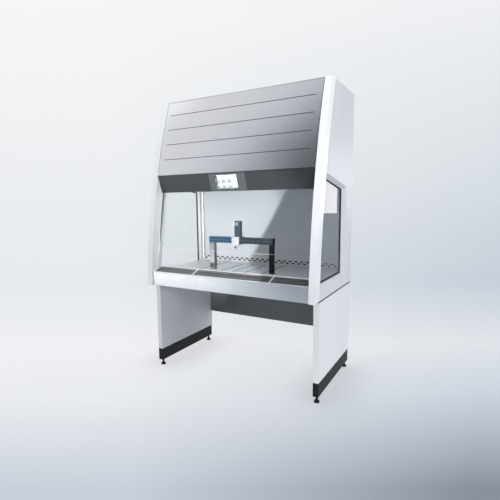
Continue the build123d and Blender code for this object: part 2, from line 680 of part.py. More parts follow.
def supply_filter():
    z0 = DIFFUSER_Z + SHEET + SHELF_H
    x, y0, y1 = FILTER_HALF_W, FILTER_FRONT_Y, BACK_WALL_Y
    body = box(-x, x, y0, y1, z0, z0 + SUPPLY_FILTER_H)
    for a, b in ((z0, z0 + 8), (z0 + SUPPLY_FILTER_H - 8, z0 + SUPPLY_FILTER_H)):
        body -= box(-x + 20, x - 20, y0 + 20, y1 - 20, a, b)
    return body


def plenum_top():
    return DIFFUSER_Z + SHEET + SHELF_H + SUPPLY_FILTER_H + PLENUM_H


def plenum_box():
    z1 = plenum_top()
    z0 = z1 - PLENUM_H
    x, y0, y1, wall = FILTER_HALF_W, FILTER_FRONT_Y + 20, BACK_WALL_Y, SHEET
    body = box(-x, x, y0, y1, z0, z1) - box(-x + wall, x - wall, y0 + wall, y1 - wall, z0, z1 - wall)
    return body - post(SUPPLY_FAN_X, FAN_Y, z1 - wall, z1, IMPELLER_R - 20)


def fan_housing(x, z0, inlet_up):
    half, wall, z1 = FAN_SIZE / 2, 3.0, z0 + FAN_H
    body = box(x - half, x + half, FAN_Y - half, FAN_Y + half, z0, z1)
    body -= box(x - half + wall, x + half - wall, FAN_Y - half + wall, FAN_Y + half - wall,
                z0 + wall, z1 - wall)
    for z in (z0, z1 - wall):
        inlet = inlet_up == (z > z0)
        radius = IMPELLER_R - 40 if inlet else IMPELLER_R - 20
        body -= post(x, FAN_Y, z, z + wall, radius)
    solid_end = z0 if inlet_up else z1 - 6
    body += box(x - half, x + half, FAN_Y - 30, FAN_Y + 30, solid_end, solid_end + 6)
    m0, m1 = motor_span(z0, inlet_up)
    body += post(x, FAN_Y, m0, m1, MOTOR_R)
    body -= post(x, FAN_Y, z0 - 1, z1 + 1, FAN_SHAFT_R + RUNNING_CLEARANCE)
    return body


def motor_span(z0, inlet_up):
    z1 = z0 + FAN_H
    return (z0, z0 + 50) if inlet_up else (z1 - 50, z1)


def impeller(x, z0, inlet_up):
    m0, m1 = motor_span(z0, inlet_up)
    a = m1 + 3 if inlet_up else m0 - 3 - IMPELLER_H
    disc_z = a if inlet_up else a + IMPELLER_H - 4
    ring_z = a + IMPELLER_H - 4 if inlet_up else a
    body = post(x, FAN_Y, disc_z, disc_z + 4, IMPELLER_R)
    ring = post(x, FAN_Y, ring_z, ring_z + 4, IMPELLER_R) - post(x, FAN_Y, ring_z, ring_z + 4,
                                                                 IMPELLER_R - 34)
    body += ring
    for i in range(IMPELLER_BLADES):
        blade = Pos(IMPELLER_R - 18, 0, a + IMPELLER_H / 2) * Rot(0, 0, 35) * Box(34, 3, IMPELLER_H)
        body += Pos(x, FAN_Y, 0) * Rot(0, 0, i * 360 / IMPELLER_BLADES) * blade
    s0, s1 = min(m0, disc_z) + 2, max(m1, disc_z + 4) - 2
    return body + post(x, FAN_Y, s0, s1, FAN_SHAFT_R)


def supply_fan_z():
    return plenum_top()


def exhaust_filter_z():
    return TOP_Z - TOP_DROP - EXHAUST_FILTER_H


def exhaust_fan_z():
    return exhaust_filter_z() - FAN_H


def exhaust_filter():
    x, z0 = EXHAUST_FAN_X, exhaust_filter_z()
    body = box(x - 230, x + 230, FAN_Y - 190, FAN_Y + 190, z0, z0 + EXHAUST_FILTER_H)
    for a, b in ((z0, z0 + 8), (z0 + EXHAUST_FILTER_H - 8, z0 + EXHAUST_FILTER_H)):
        body -= post(x, FAN_Y, a, b, COLLAR_R)
    return body


def lamp():
    y, z = FILTER_FRONT_Y - 62, DIFFUSER_Z - 12
    tube = rod(-LAMP_HALF, LAMP_HALF, y, z - 4, LAMP_R)
    tray = box(-LAMP_HALF - 20, LAMP_HALF + 20, y - 22, FILTER_FRONT_Y - 20, DIFFUSER_Z + SHEET,
               DIFFUSER_Z + SHEET + 4)
    ends = []
    for side in (-1, 1):
        a, b = sorted((side * LAMP_HALF, side * (LAMP_HALF + 20)))
        ends.append(box(a, b, y - 14, y + 14, z - 20, DIFFUSER_Z + SHEET + 4))
    return tube + tray + ends


# ---------------------------------------------------------------- dosing gantry
def gantry_column_left():
    x0, y = -GANTRY_HALF, GANTRY_Y
    body = box(x0, x0 + COLUMN_LEFT_W, y - COLUMN_LEFT_D / 2, y + COLUMN_LEFT_D / 2, WORKTOP_Z, BEAM_Z0)
    return fillet(body.edges().filter_by(Axis.Z), 3)


def gantry_column_right():
    x1, y = GANTRY_HALF, GANTRY_Y
    body = box(x1 - COLUMN_RIGHT_W, x1, y - COLUMN_RIGHT_D / 2, y + COLUMN_RIGHT_D / 2, WORKTOP_Z, BEAM_Z0)
    return fillet(body.edges().filter_by(Axis.Z), 3)


def gantry_beam():
    y0, y1 = GANTRY_Y - BEAM_DEPTH / 2, GANTRY_Y + BEAM_DEPTH / 2
    body = box(-GANTRY_HALF, GANTRY_HALF, y0, y1, BEAM_Z0, BEAM_Z1)
    return fillet(body.edges(), 2)


def gantry_carriage():
    """Shoe on the front, top and back of the beam, with the vertical drive tower above."""
    x0, x1 = CARRIAGE_X - CARRIAGE_W / 2, CARRIAGE_X + CARRIAGE_W / 2
    play, wall = SLIDE_CLEARANCE, 8.0
    y0, y1 = GANTRY_Y - BEAM_DEPTH / 2 - play, GANTRY_Y + BEAM_DEPTH / 2 + play
    z0, z1 = BEAM_Z0 - play, BEAM_Z1 + play
    shoe = box(x0, x1, y0 - CARRIAGE_T, y1 + wall, z0 - wall, z1 + wall)
    shoe -= box(x0, x1, y0, y1, z0, z1)
    return fillet(shoe.edges().filter_by(Axis.Z), 2)


def tower_box():
    x0 = CARRIAGE_X - TOWER_W / 2 + 7
    y0 = GANTRY_Y - BEAM_DEPTH / 2 - SLIDE_CLEARANCE - CARRIAGE_T
    z0 = BEAM_Z1 + SLIDE_CLEARANCE + 8
    return x0, x0 + TOWER_W, y0, y0 + TOWER_D, z0, TOWER_TOP_Z


def gantry_tower():
    return fillet(box(*tower_box()).edges().filter_by(Axis.Z), 4)


def gantry_tower_cap():
    x0, x1, y0, y1, z0, z1 = tower_box()
    cap = box(x0 - 14, x0, y0 + 2, y1 - 8, z1 - 46, z1 - 2)
    return fillet(cap.edges().filter_by(Axis.Z).sort_by(Axis.X)[:2], 6)


def dosing_head():
    y1 = GANTRY_Y - BEAM_DEPTH / 2 - SLIDE_CLEARANCE - CARRIAGE_T - SLIDE_CLEARANCE
    x = CARRIAGE_X
    body = box(x - HEAD_W / 2, x + HEAD_W / 2, y1 - HEAD_D, y1, HEAD_Z0, HEAD_Z1)
    return fillet(body.edges().filter_by(Axis.Z), 6)


def dosing_nozzle():
    y = GANTRY_Y - BEAM_DEPTH / 2 - CARRIAGE_T - 2 * SLIDE_CLEARANCE - HEAD_D / 2
    barrel = post(CARRIAGE_X, y, HEAD_Z0 - 18, HEAD_Z0, 11)
    tip = Pos(CARRIAGE_X, y, (NOZZLE_TIP_Z + HEAD_Z0 - 18) / 2) * Cone(3, 8, HEAD_Z0 - 18 - NOZZLE_TIP_Z)
    return barrel + tip - post(CARRIAGE_X, y, NOZZLE_TIP_Z, HEAD_Z0 - 4, 1.5)


# ---------------------------------------------------------------- write the parts
def build():
    nodes = {}
    for make in (stand_gable, side_panel, front_post):
        nodes[make.__name__ + "_right"] = make()
        nodes[make.__name__ + "_left"] = mirrored(make())
    for make in (plinth, side_window, inner_liner, sash_guide):
        shape = make()
        nodes[make.__name__ + "s"] = Compound([shape, mirrored(shape)])
    x, y0, y1 = foot_places()
    for end, y in (("front", y0), ("back", y1)):
        nodes[f"foot_{end}_right"] = foot(x, y)
        nodes[f"foot_{end}_left"] = foot(-x, y)
    for i, name in enumerate(("left", "centre", "right")):
        nodes["grille_" + name] = grille(i)
    z_supply, z_exhaust = supply_fan_z(), exhaust_fan_z()
    nodes["supply_fan_housing"] = fan_housing(SUPPLY_FAN_X, z_supply, True)
    nodes["supply_impeller"] = impeller(SUPPLY_FAN_X, z_supply, True)
    nodes["exhaust_fan_housing"] = fan_housing(EXHAUST_FAN_X, z_exhaust, False)
    nodes["exhaust_impeller"] = impeller(EXHAUST_FAN_X, z_exhaust, False)
    single = (
        stand_rear_panel, stand_top_frame, rear_panel, rear_panel_screws, top_panel,
        exhaust_collar, base_panel, back_wall, sump_pan, worktop_left, worktop_right, deck_plate,
        grille_frame, apron, front_cover, cover_pivot_pins, control_fascia, display_bezel,
        display_screen, sash_glass, sash_carrier, sash_belts, sash_drive_shaft, sash_idlers,
        sash_motor, diffuser_plate, filter_shelf, supply_filter, plenum_box, exhaust_filter, lamp,
        gantry_column_left, gantry_column_right, gantry_beam, gantry_carriage, gantry_tower,
        gantry_tower_cap, dosing_head, dosing_nozzle,
    )
    for make in single:
        nodes[make.__name__] = make()
    return nodes


if __name__ == "__main__":
    os.makedirs("parts", exist_ok=True)
    for name, shape in build().items():
        export_step(shape, f"parts/{name}.step")
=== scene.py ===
# %% [markdown]
# # A ventilated safety cabinet, dressed for the studio
# The CAD parts come in ready placed. Each cell below adds one kind of detail: the camera, the finishes,
# the small fittings, and at the end the studio. Lengths are in metres.

# %%
import math

import bmesh
import bpy
from mathutils import Matrix, Vector


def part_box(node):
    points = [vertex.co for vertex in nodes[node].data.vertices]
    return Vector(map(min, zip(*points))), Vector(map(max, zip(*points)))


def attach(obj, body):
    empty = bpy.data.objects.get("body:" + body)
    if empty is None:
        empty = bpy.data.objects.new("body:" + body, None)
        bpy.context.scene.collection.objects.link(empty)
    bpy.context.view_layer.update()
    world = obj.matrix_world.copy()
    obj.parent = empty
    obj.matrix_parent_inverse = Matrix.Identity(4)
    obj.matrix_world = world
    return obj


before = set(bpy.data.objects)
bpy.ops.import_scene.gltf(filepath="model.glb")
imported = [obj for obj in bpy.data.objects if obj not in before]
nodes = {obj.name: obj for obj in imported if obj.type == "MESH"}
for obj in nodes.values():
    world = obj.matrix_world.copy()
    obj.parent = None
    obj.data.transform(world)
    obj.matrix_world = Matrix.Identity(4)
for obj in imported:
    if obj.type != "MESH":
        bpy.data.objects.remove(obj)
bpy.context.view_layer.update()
print(len(nodes), "CAD nodes")

# %% [markdown]
# ## Camera
# A 28 mm lens at chest height, to the right of the cabinet and turned back towards it.

# %%
YAW, PITCH, ROLL = (math.radians(a) for a in (29.2769, 7.0311, -0.6339))

camera = bpy.data.objects.new("camera", bpy.data.cameras.new("camera"))
bpy.context.collection.objects.link(camera)
bpy.context.scene.camera = camera
camera.data.lens = 28.013
camera.data.sensor_width = 36.0
ahead = Vector((-math.sin(YAW), math.cos(YAW), 0))
across = Vector((math.cos(YAW), math.sin(YAW), 0))
aim = ahead * math.cos(PITCH) - Vector((0, 0, 1)) * math.sin(PITCH)
above = Vector((0, 0, 1)) * math.cos(PITCH) + ahead * math.sin(PITCH)
right = across * math.cos(ROLL) + above * math.sin(ROLL)
top = above * math.cos(ROLL) - across * math.sin(ROLL)
turn = Matrix((right, top, -aim)).transposed().to_4x4()
camera.matrix_world = Matrix.Translation((1.61166, -2.86025, 1.43942)) @ turn

# %% [markdown]
# ## Shared surface effects
# Node groups turn a colour into a finish. `sheet` is powder coat: a fine orange peel, faint mottling
# and softly rounded edges. `brushed` is metal with fine lines along one axis.


# %%
def group(name, inputs, outputs):
    """An empty node group with named sockets, and its input and output nodes."""
    tree = bpy.data.node_groups.new(name, "ShaderNodeTree")
    for label, kind, value in inputs:
        socket = tree.interface.new_socket(name=label, in_out="INPUT", socket_type=kind)
        socket.default_value = value
    for label, kind in outputs:
        tree.interface.new_socket(name=label, in_out="OUTPUT", socket_type=kind)
    return tree, tree.nodes.new("NodeGroupInput"), tree.nodes.new("NodeGroupOutput")


def add(tree, kind, **values):
    """A node with its properties or its input sockets set by name."""
    node = tree.nodes.new(kind)
    for key, value in values.items():
        if hasattr(node, key):
            setattr(node, key, value)
        else:
            node.inputs[key.replace("_", " ")].default_value = value
    return node


def mix_colour(tree, factor, a, b, blend="MIX"):
    """A colour mix of two sockets or constants."""
    node = add(tree, "ShaderNodeMix", data_type="RGBA", blend_type=blend)
    for socket, value in ((node.inputs[0], factor), (node.inputs[6], a), (node.inputs[7], b)):
        if isinstance(value, bpy.types.NodeSocket):
            tree.links.new(value, socket)
        else:
            socket.default_value = value
    return node.outputs[2]


def math_node(tree, operation, *values):
    node = add(tree, "ShaderNodeMath", operation=operation)
    for i, value in enumerate(values):
        if isinstance(value, bpy.types.NodeSocket):
            tree.links.new(value, node.inputs[i])
        else:
            node.inputs[i].default_value = value
    return node.outputs[0]


def ramp(tree, source, low, high, out_low=0.0, out_high=1.0):
    """A clamped map of a value from one range to another."""
    node = add(tree, "ShaderNodeMapRange")
    node.inputs[1].default_value = low
    node.inputs[2].default_value = high
    node.inputs[3].default_value = out_low
    node.inputs[4].default_value = out_high
    tree.links.new(source, node.inputs[0])
    return node.outputs[0]


def noise(tree, vector, scale, detail=3.0, rough=0.55):
    node = add(tree, "ShaderNodeTexNoise", Scale=scale, Detail=detail, Roughness=rough)
    tree.links.new(vector, node.inputs["Vector"])
    return node.outputs["Fac"]


def make_sheet_group():
    tree, given, result = group(
        "sheet",
        [("Color", "NodeSocketColor", (0.8, 0.8, 0.8, 1)), ("Roughness", "NodeSocketFloat", 0.4),
         ("Mottle", "NodeSocketFloat", 0.03), ("Peel", "NodeSocketFloat", 0.05),
         ("Peel Size", "NodeSocketFloat", 700.0)],
        [("Color", "NodeSocketColor"), ("Roughness", "NodeSocketFloat"), ("Normal", "NodeSocketVector")])
    where = add(tree, "ShaderNodeTexCoord").outputs["Object"]
    cloud = noise(tree, where, 3.2, 4.0)
    speck = noise(tree, where, 60.0, 2.0)
    shade = ramp(tree, cloud, 0.3, 0.7, -1.0, 1.0)
    level = math_node(tree, "MULTIPLY_ADD", shade, given.outputs["Mottle"], 1.0)
    tint = add(tree, "ShaderNodeCombineColor")
    for i in range(3):
        tree.links.new(level, tint.inputs[i])
    coloured = mix_colour(tree, 1.0, given.outputs["Color"], tint.outputs[0], "MULTIPLY")
    tree.links.new(coloured, result.inputs["Color"])
    scuff = ramp(tree, speck, 0.35, 0.75, -0.012, 0.02)
    broad = ramp(tree, cloud, 0.3, 0.7, -0.015, 0.015)
    rough = math_node(tree, "ADD", math_node(tree, "ADD", given.outputs["Roughness"], scuff), broad)
    tree.links.new(rough, result.inputs["Roughness"])
    peel = add(tree, "ShaderNodeTexNoise", Detail=2.0)
    tree.links.new(where, peel.inputs["Vector"])
    tree.links.new(given.outputs["Peel Size"], peel.inputs["Scale"])
    edge = add(tree, "ShaderNodeBevel", samples=4, Radius=0.0012)
    bump = add(tree, "ShaderNodeBump", Distance=0.0004)
    tree.links.new(given.outputs["Peel"], bump.inputs["Strength"])
    tree.links.new(peel.outputs["Fac"], bump.inputs["Height"])
    tree.links.new(edge.outputs["Normal"], bump.inputs["Normal"])
    tree.links.new(bump.outputs["Normal"], result.inputs["Normal"])
    return tree


def make_brushed_group():
    tree, given, result = group(
        "brushed",
        [("Color", "NodeSocketColor", (0.6, 0.6, 0.6, 1)), ("Roughness", "NodeSocketFloat", 0.3),
         ("Lines", "NodeSocketVector", (2.0, 600.0, 600.0)), ("Depth", "NodeSocketFloat", 0.06),
         ("Wear", "NodeSocketFloat", 0.08)],
        [("Color", "NodeSocketColor"), ("Roughness", "NodeSocketFloat"), ("Normal", "NodeSocketVector")])
    where = add(tree, "ShaderNodeTexCoord").outputs["Object"]
    stretch = add(tree, "ShaderNodeVectorMath", operation="MULTIPLY")
    tree.links.new(where, stretch.inputs[0])
    tree.links.new(given.outputs["Lines"], stretch.inputs[1])
    lines = noise(tree, stretch.outputs[0], 1.0, 3.0, 0.7)
    cloud = noise(tree, where, 5.0, 4.0)
    shade = ramp(tree, lines, 0.25, 0.75, -1.0, 1.0)
    level = math_node(tree, "MULTIPLY_ADD", shade, given.outputs["Wear"], 1.0)
    tint = add(tree, "ShaderNodeCombineColor")
    for i in range(3):
        tree.links.new(level, tint.inputs[i])
    tree.links.new(mix_colour(tree, 1.0, given.outputs["Color"], tint.outputs[0], "MULTIPLY"),
                   result.inputs["Color"])
    drift = ramp(tree, cloud, 0.3, 0.7, -0.015, 0.015)
    grain = ramp(tree, lines, 0.3, 0.7, -0.03, 0.04)
    rough = math_node(tree, "ADD", math_node(tree, "ADD", given.outputs["Roughness"], drift), grain)
    tree.links.new(rough, result.inputs["Roughness"])
    edge = add(tree, "ShaderNodeBevel", samples=4, Radius=0.0008)
    bump = add(tree, "ShaderNodeBump", Distance=0.0003)
    tree.links.new(given.outputs["Depth"], bump.inputs["Strength"])
    tree.links.new(lines, bump.inputs["Height"])
    tree.links.new(edge.outputs["Normal"], bump.inputs["Normal"])
    tree.links.new(bump.outputs["Normal"], result.inputs["Normal"])
    return tree


SHEET = make_sheet_group()
BRUSHED = make_brushed_group()
print("groups:", [g.name for g in bpy.data.node_groups])


# %% [markdown]
# ## Finishes
# Every finish goes through one of the groups, so that no surface is one flat colour.


# %%
def finish_with(name, tree, colour, roughness, metallic=0.0, coat=0.0, **effect):
    """A material whose colour, roughness and normal come from a group."""
    material = bpy.data.materials.new(name)
    material.use_nodes = True
    links, shader = material.node_tree.links, material.node_tree.nodes["Principled BSDF"]
    effects = material.node_tree.nodes.new("ShaderNodeGroup")
    effects.node_tree = tree
    effects.inputs["Color"].default_value = (*colour, 1)
    effects.inputs["Roughness"].default_value = roughness
    for key, value in effect.items():
        effects.inputs[key.replace("_", " ")].default_value = value
    for output, socket in (("Color", "Base Color"), ("Roughness", "Roughness"), ("Normal", "Normal")):
        links.new(effects.outputs[output], shader.inputs[socket])
    shader.inputs["Metallic"].default_value = metallic
    shader.inputs["Coat Weight"].default_value = coat
    shader.inputs["Coat Roughness"].default_value = 0.15
    return material


def painted(name, colour, roughness=0.42, **effect):
    return finish_with(name, SHEET, colour, roughness, **effect)


def metal(name, colour, roughness=0.3, **effect):
    return finish_with(name, BRUSHED, colour, roughness, metallic=1.0, **effect)


ALONG_X, ALONG_Z = (2.0, 600.0, 600.0), (600.0, 600.0, 2.0)

M = {
    "white_enamel": painted("white_enamel", (0.72, 0.74, 0.76), 0.38, Mottle=0.012),
    "inner_enamel": painted("inner_enamel", (0.58, 0.60, 0.62), 0.4, Mottle=0.012),
    "post_white": painted("post_white", (0.90, 0.91, 0.92), 0.3, coat=0.3, Mottle=0.008, Peel=0.03),
    "gable_white": painted("gable_white", (0.80, 0.81, 0.82), 0.45, Mottle=0.012),
    "plinth_black": painted("plinth_black", (0.010, 0.012, 0.015), 0.55, Mottle=0.05, Peel=0.12),
    "panel_dark": painted("panel_dark", (0.15, 0.165, 0.175), 0.5, Mottle=0.04, Peel=0.1),
    "frame_black": painted("frame_black", (0.02, 0.022, 0.025), 0.5, Mottle=0.05),
    "foot_black": painted("foot_black", (0.018, 0.018, 0.02), 0.62, Mottle=0.1, Peel=0.2),
    "stainless": finish_with("stainless", BRUSHED, (0.70, 0.725, 0.75), 0.36, metallic=0.6, Lines=ALONG_X),
    "apron_steel": metal("apron_steel", (0.70, 0.72, 0.74), 0.26, Lines=(1.0, 1400.0, 1400.0), Wear=0.03),
    "corner_steel": finish_with("corner_steel", BRUSHED, (0.42, 0.43, 0.44), 0.4, metallic=0.5,
                                Lines=ALONG_Z),
    "rim_white": painted("rim_white", (0.84, 0.85, 0.86), 0.35, Mottle=0.01),
    "cover_silver": finish_with("cover_silver", BRUSHED, (0.42, 0.43, 0.445), 0.17, metallic=0.88,
                                Lines=ALONG_X, Depth=0.012, Wear=0.015),
    "fascia_dark": painted("fascia_dark", (0.038, 0.043, 0.048), 0.3, coat=0.15, Mottle=0.02),
    "grille_black": painted("grille_black", (0.12, 0.125, 0.13), 0.4, Mottle=0.05),
    "drive_aluminium": metal("drive_aluminium", (0.68, 0.69, 0.70), 0.35, Lines=ALONG_Z),
    "belt_rubber": painted("belt_rubber", (0.025, 0.025, 0.027), 0.7, Mottle=0.08, Peel=0.3),
    "filter_body": metal("filter_body", (0.62, 0.63, 0.64), 0.45, Lines=ALONG_X, Wear=0.05),
    "lamp_white": painted("lamp_white", (0.86, 0.87, 0.88), 0.35, Mottle=0.01),
    "motor_black": painted("motor_black", (0.03, 0.03, 0.033), 0.5, Mottle=0.08, Peel=0.25),
    "beam_blue": finish_with("beam_blue", BRUSHED, (0.035, 0.125, 0.225), 0.36, metallic=0.5,
                             Lines=ALONG_X, Wear=0.04),
    "column_steel": metal("column_steel", (0.40, 0.42, 0.44), 0.2, Lines=ALONG_Z, Wear=0.03),
    "column_black": painted("column_black", (0.006, 0.0065, 0.008), 0.6, Mottle=0.06),
    "tower_blue": painted("tower_blue", (0.022, 0.052, 0.082), 0.45, Mottle=0.03),
    "tower_cap": painted("tower_cap", (0.85, 0.86, 0.87), 0.35, Mottle=0.01),
    "head_white": painted("head_white", (0.62, 0.61, 0.63), 0.32, coat=0.2, Mottle=0.02),
    "nozzle_steel": metal("nozzle_steel", (0.70, 0.66, 0.66), 0.25, Lines=ALONG_Z),
    "screw_steel": metal("screw_steel", (0.60, 0.61, 0.62), 0.3, Lines=ALONG_X),
}


# %% [markdown]
# Galvanised sheet has its own crystal pattern, the diffuser is perforated, and clear glass lets
# shadow rays through, so the sheet doesn't turn the chamber black.


# %%
def patterned(name, base, build):
    """A copy of a finish whose colour and roughness pass through another small network."""
    material = base.copy()
    material.name = name
    tree = material.node_tree
    shader = tree.nodes["Principled BSDF"]
    where = add(tree, "ShaderNodeTexCoord").outputs["Object"]
    colour = shader.inputs["Base Color"].links[0].from_socket
    build(tree, shader, where, colour)
    return material


def spangle(tree, shader, where, colour):
    cells = add(tree, "ShaderNodeTexVoronoi", Scale=90.0)
    tree.links.new(where, cells.inputs["Vector"])
    grey = add(tree, "ShaderNodeSeparateColor")
    tree.links.new(cells.outputs["Color"], grey.inputs[0])
    level = ramp(tree, grey.outputs[0], 0.0, 1.0, 0.78, 1.0)
    tint = add(tree, "ShaderNodeCombineColor")
    for i in range(3):
        tree.links.new(level, tint.inputs[i])
    tree.links.new(mix_colour(tree, 1.0, colour, tint.outputs[0], "MULTIPLY"), shader.inputs["Base Color"])


def perforations(tree, shader, where, colour):
    """Staggered 3 mm holes on a 6 mm pitch, drawn as dark discs of painted shade."""
    cells = add(tree, "ShaderNodeTexVoronoi", feature="F1", Scale=165.0, Randomness=0.0)
    flat = add(tree, "ShaderNodeVectorMath", operation="MULTIPLY")
    flat.inputs[1].default_value = (1, 1, 0)
    tree.links.new(where, flat.inputs[0])
    tree.links.new(flat.outputs[0], cells.inputs["Vector"])
    hole = ramp(tree, cells.outputs["Distance"], 0.30, 0.34, 1.0, 0.0)
    tree.links.new(mix_colour(tree, hole, colour, (0.03, 0.03, 0.035, 1)), shader.inputs["Base Color"])


def two_tone(tree, shader, where, colour):
    """The beam is blue to the left of the carriage and slate to its right."""
    split = add(tree, "ShaderNodeSeparateXYZ")
    tree.links.new(where, split.inputs[0])
    side = ramp(tree, split.outputs[0], -0.021, -0.019)
    tree.links.new(mix_colour(tree, side, colour, (0.055, 0.068, 0.088, 1)), shader.inputs["Base Color"])


def foot_dark_band(tree, shader, where, colour):
    """A black band 7 mm high runs along the foot of the panel, where the cabinet stands on its frame."""
    split = add(tree, "ShaderNodeSeparateXYZ")
    tree.links.new(where, split.inputs[0])
    band_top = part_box("side_panel_right")[0].z + 0.007
    above = ramp(tree, split.outputs[2], band_top - 0.0003, band_top)
    tree.links.new(mix_colour(tree, above, (0.012, 0.012, 0.014, 1), colour), shader.inputs["Base Color"])


M["panel_enamel"] = patterned("panel_enamel", M["white_enamel"], foot_dark_band)
M["gantry_beam"] = patterned("gantry_beam", M["beam_blue"], two_tone)
M["galvanised"] = patterned("galvanised", M["filter_body"], spangle)
M["diffuser"] = patterned("diffuser", M["rim_white"], perforations)


def glass(name, tint, clear, index=1.5):
    """Glass for a thin sheet: mostly clear, glossy by angle, with faint smears in its gloss."""
    material = bpy.data.materials.new(name)
    material.use_nodes = True
    tree = material.node_tree
    tree.nodes.remove(tree.nodes["Principled BSDF"])
    out = tree.nodes["Material Output"]
    where = add(tree, "ShaderNodeTexCoord").outputs["Object"]
    smear = noise(tree, where, 2.4, 5.0)
    see = add(tree, "ShaderNodeBsdfTransparent")
    gloss = add(tree, "ShaderNodeBsdfGlossy")
    tree.links.new(ramp(tree, smear, 0.3, 0.75, 0.0, 0.035), gloss.inputs["Roughness"])
    angle = add(tree, "ShaderNodeFresnel", IOR=index)
    path = add(tree, "ShaderNodeLightPath")
    shadow = path.outputs["Is Shadow Ray"]
    tree.links.new(mix_colour(tree, shadow, (*tint, 1), (clear, clear, clear, 1)), see.inputs["Color"])
    outside = add(tree, "ShaderNodeNewGeometry").outputs["Backfacing"]
    facing = math_node(tree, "SUBTRACT", 1.0, math_node(tree, "MAXIMUM", outside, shadow))
    amount = math_node(tree, "MULTIPLY", angle.outputs[0], facing)
    both = add(tree, "ShaderNodeMixShader")
    tree.links.new(amount, both.inputs[0])
    tree.links.new(see.outputs[0], both.inputs[1])
    tree.links.new(gloss.outputs[0], both.inputs[2])
    tree.links.new(both.outputs[0], out.inputs["Surface"])
    return material


M["glass_edge"] = painted("glass_edge", (0.70, 0.78, 0.77), 0.15, Mottle=0.02, Peel=0.0)
M["screen_tile"] = painted("screen_tile", (0.50, 0.57, 0.56), 0.2, coat=0.4, Mottle=0.02, Peel=0.0)
M["screen_mark"] = painted("screen_mark", (0.22, 0.34, 0.37), 0.2, coat=0.4, Mottle=0.02, Peel=0.0)
M["filter_paper"] = painted("filter_paper", (0.85, 0.86, 0.85), 0.85, Mottle=0.04, Peel=0.3,
                            Peel_Size=1500.0)
M["sash_glass"] = glass("sash_glass", (0.975, 0.985, 0.985), 1.0, 1.3)
# the side windows pass little of each shadow ray, so they cast shade into the chamber
M["window_glass"] = glass("window_glass", (0.965, 0.972, 0.975), 0.12)
M["bezel_glass"] = painted("bezel_glass", (0.075, 0.083, 0.09), 0.12, coat=0.6, Mottle=0.01, Peel=0.0)
M["screen"] = painted("screen", (0.80, 0.84, 0.86), 0.22, coat=0.4, Mottle=0.01, Peel=0.0)
for name, colour, power in (("screen", (0.80, 0.86, 0.88, 1), 0.12), ("lamp_white", (1, 1, 1, 1), 0.35)):
    shader = M[name].node_tree.nodes["Principled BSDF"]
    shader.inputs["Emission Color"].default_value = colour
    shader.inputs["Emission Strength"].default_value = power

FINISH = {
    "panel_enamel": "side_panel_left side_panel_right",
    "white_enamel": "inner_liners top_panel rear_panel",
    "inner_enamel": "back_wall",
    "post_white": "front_post_left front_post_right",
    "gable_white": "stand_gable_left stand_gable_right",
    "plinth_black": "plinths",
    "panel_dark": "stand_rear_panel",
    "frame_black": "stand_top_frame",
    "foot_black": "foot_front_left foot_front_right foot_back_left foot_back_right",
    "stainless": "worktop_left worktop_right deck_plate sump_pan base_panel",
    "apron_steel": "apron",
    "rim_white": "grille_frame",
    "diffuser": "diffuser_plate",
    "cover_silver": "front_cover",
    "fascia_dark": "control_fascia",
    "bezel_glass": "display_bezel",
    "screen": "display_screen",
    "sash_glass": "sash_glass",
    "window_glass": "side_windows",
    "grille_black": "grille_left grille_centre grille_right",
    "drive_aluminium": "sash_carrier sash_guides sash_drive_shaft sash_idlers "
                       "supply_impeller exhaust_impeller",
    "belt_rubber": "sash_belts",
    "filter_body": "supply_filter exhaust_filter exhaust_collar",
    "galvanised": "filter_shelf plenum_box supply_fan_housing exhaust_fan_housing",
    "lamp_white": "lamp",
    "motor_black": "sash_motor",
    "gantry_beam": "gantry_beam",
    "column_steel": "gantry_column_left gantry_carriage",
    "column_black": "gantry_column_right",
    "tower_blue": "gantry_tower",
    "tower_cap": "gantry_tower_cap",
    "head_white": "dosing_head",
    "nozzle_steel": "dosing_nozzle",
    "screw_steel": "rear_panel_screws cover_pivot_pins",
}
for finish, names in FINISH.items():
    for name in names.split():
        slots = nodes[name].material_slots
        if not slots:
            nodes[name].data.materials.append(M[finish])
        for slot in slots:
            slot.material = M[finish]
for name in ("plinth_black", "column_black", "fascia_dark", "foot_black"):
    M[name].node_tree.nodes["Principled BSDF"].inputs["Specular IOR Level"].default_value = 0.25
bare = set(nodes) - {n for names in FINISH.values() for n in names.split()}
print("finishes:", len(FINISH), "bare nodes:", sorted(bare))

# %% [markdown]
# ## Small fittings
# The fittings that a finish can't give: screws, gaskets, threads, belt teeth, filter pleats, the
# touch screen's tiles and the trim of the dosing head. Each rides on the body that carries it.


# %%
def piece(name, work, finish, body, slot, smooth=True):
    """Turns a bmesh into an object with a finish, on a body of the CAD model."""
    bmesh.ops.recalc_face_normals(work, faces=work.faces)
    mesh = bpy.data.meshes.new(name)
    work.to_mesh(mesh)
    work.free()
    mesh.materials.append(M[finish])
    for face in mesh.polygons:
        face.use_smooth = smooth
    mesh.set_sharp_from_angle(angle=math.radians(32))
    made = bpy.data.objects.new(name, mesh)
    bpy.context.collection.objects.link(made)
    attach(made, body)
    return made


def block(work, low, high, radius=0.0008, turn=None):
    """A box between two corners with its edges rounded."""
    low, high = Vector(low), Vector(high)
    size = high - low
    made = bmesh.ops.create_cube(work, size=1, matrix=Matrix.Translation((low + high) / 2)
                                 @ Matrix.Diagonal((*size, 1)))
    edges = list({edge for vert in made["verts"] for edge in vert.link_edges})
    rounded = bmesh.ops.bevel(work, geom=edges, offset=min(radius, min(size) * 0.4), segments=2,
                              affect="EDGES", profile=0.5, material=-1)
    verts = list({v for face in rounded["faces"] for v in face.verts})
    if turn:
        bmesh.ops.transform(work, matrix=turn, verts=verts)
    return verts


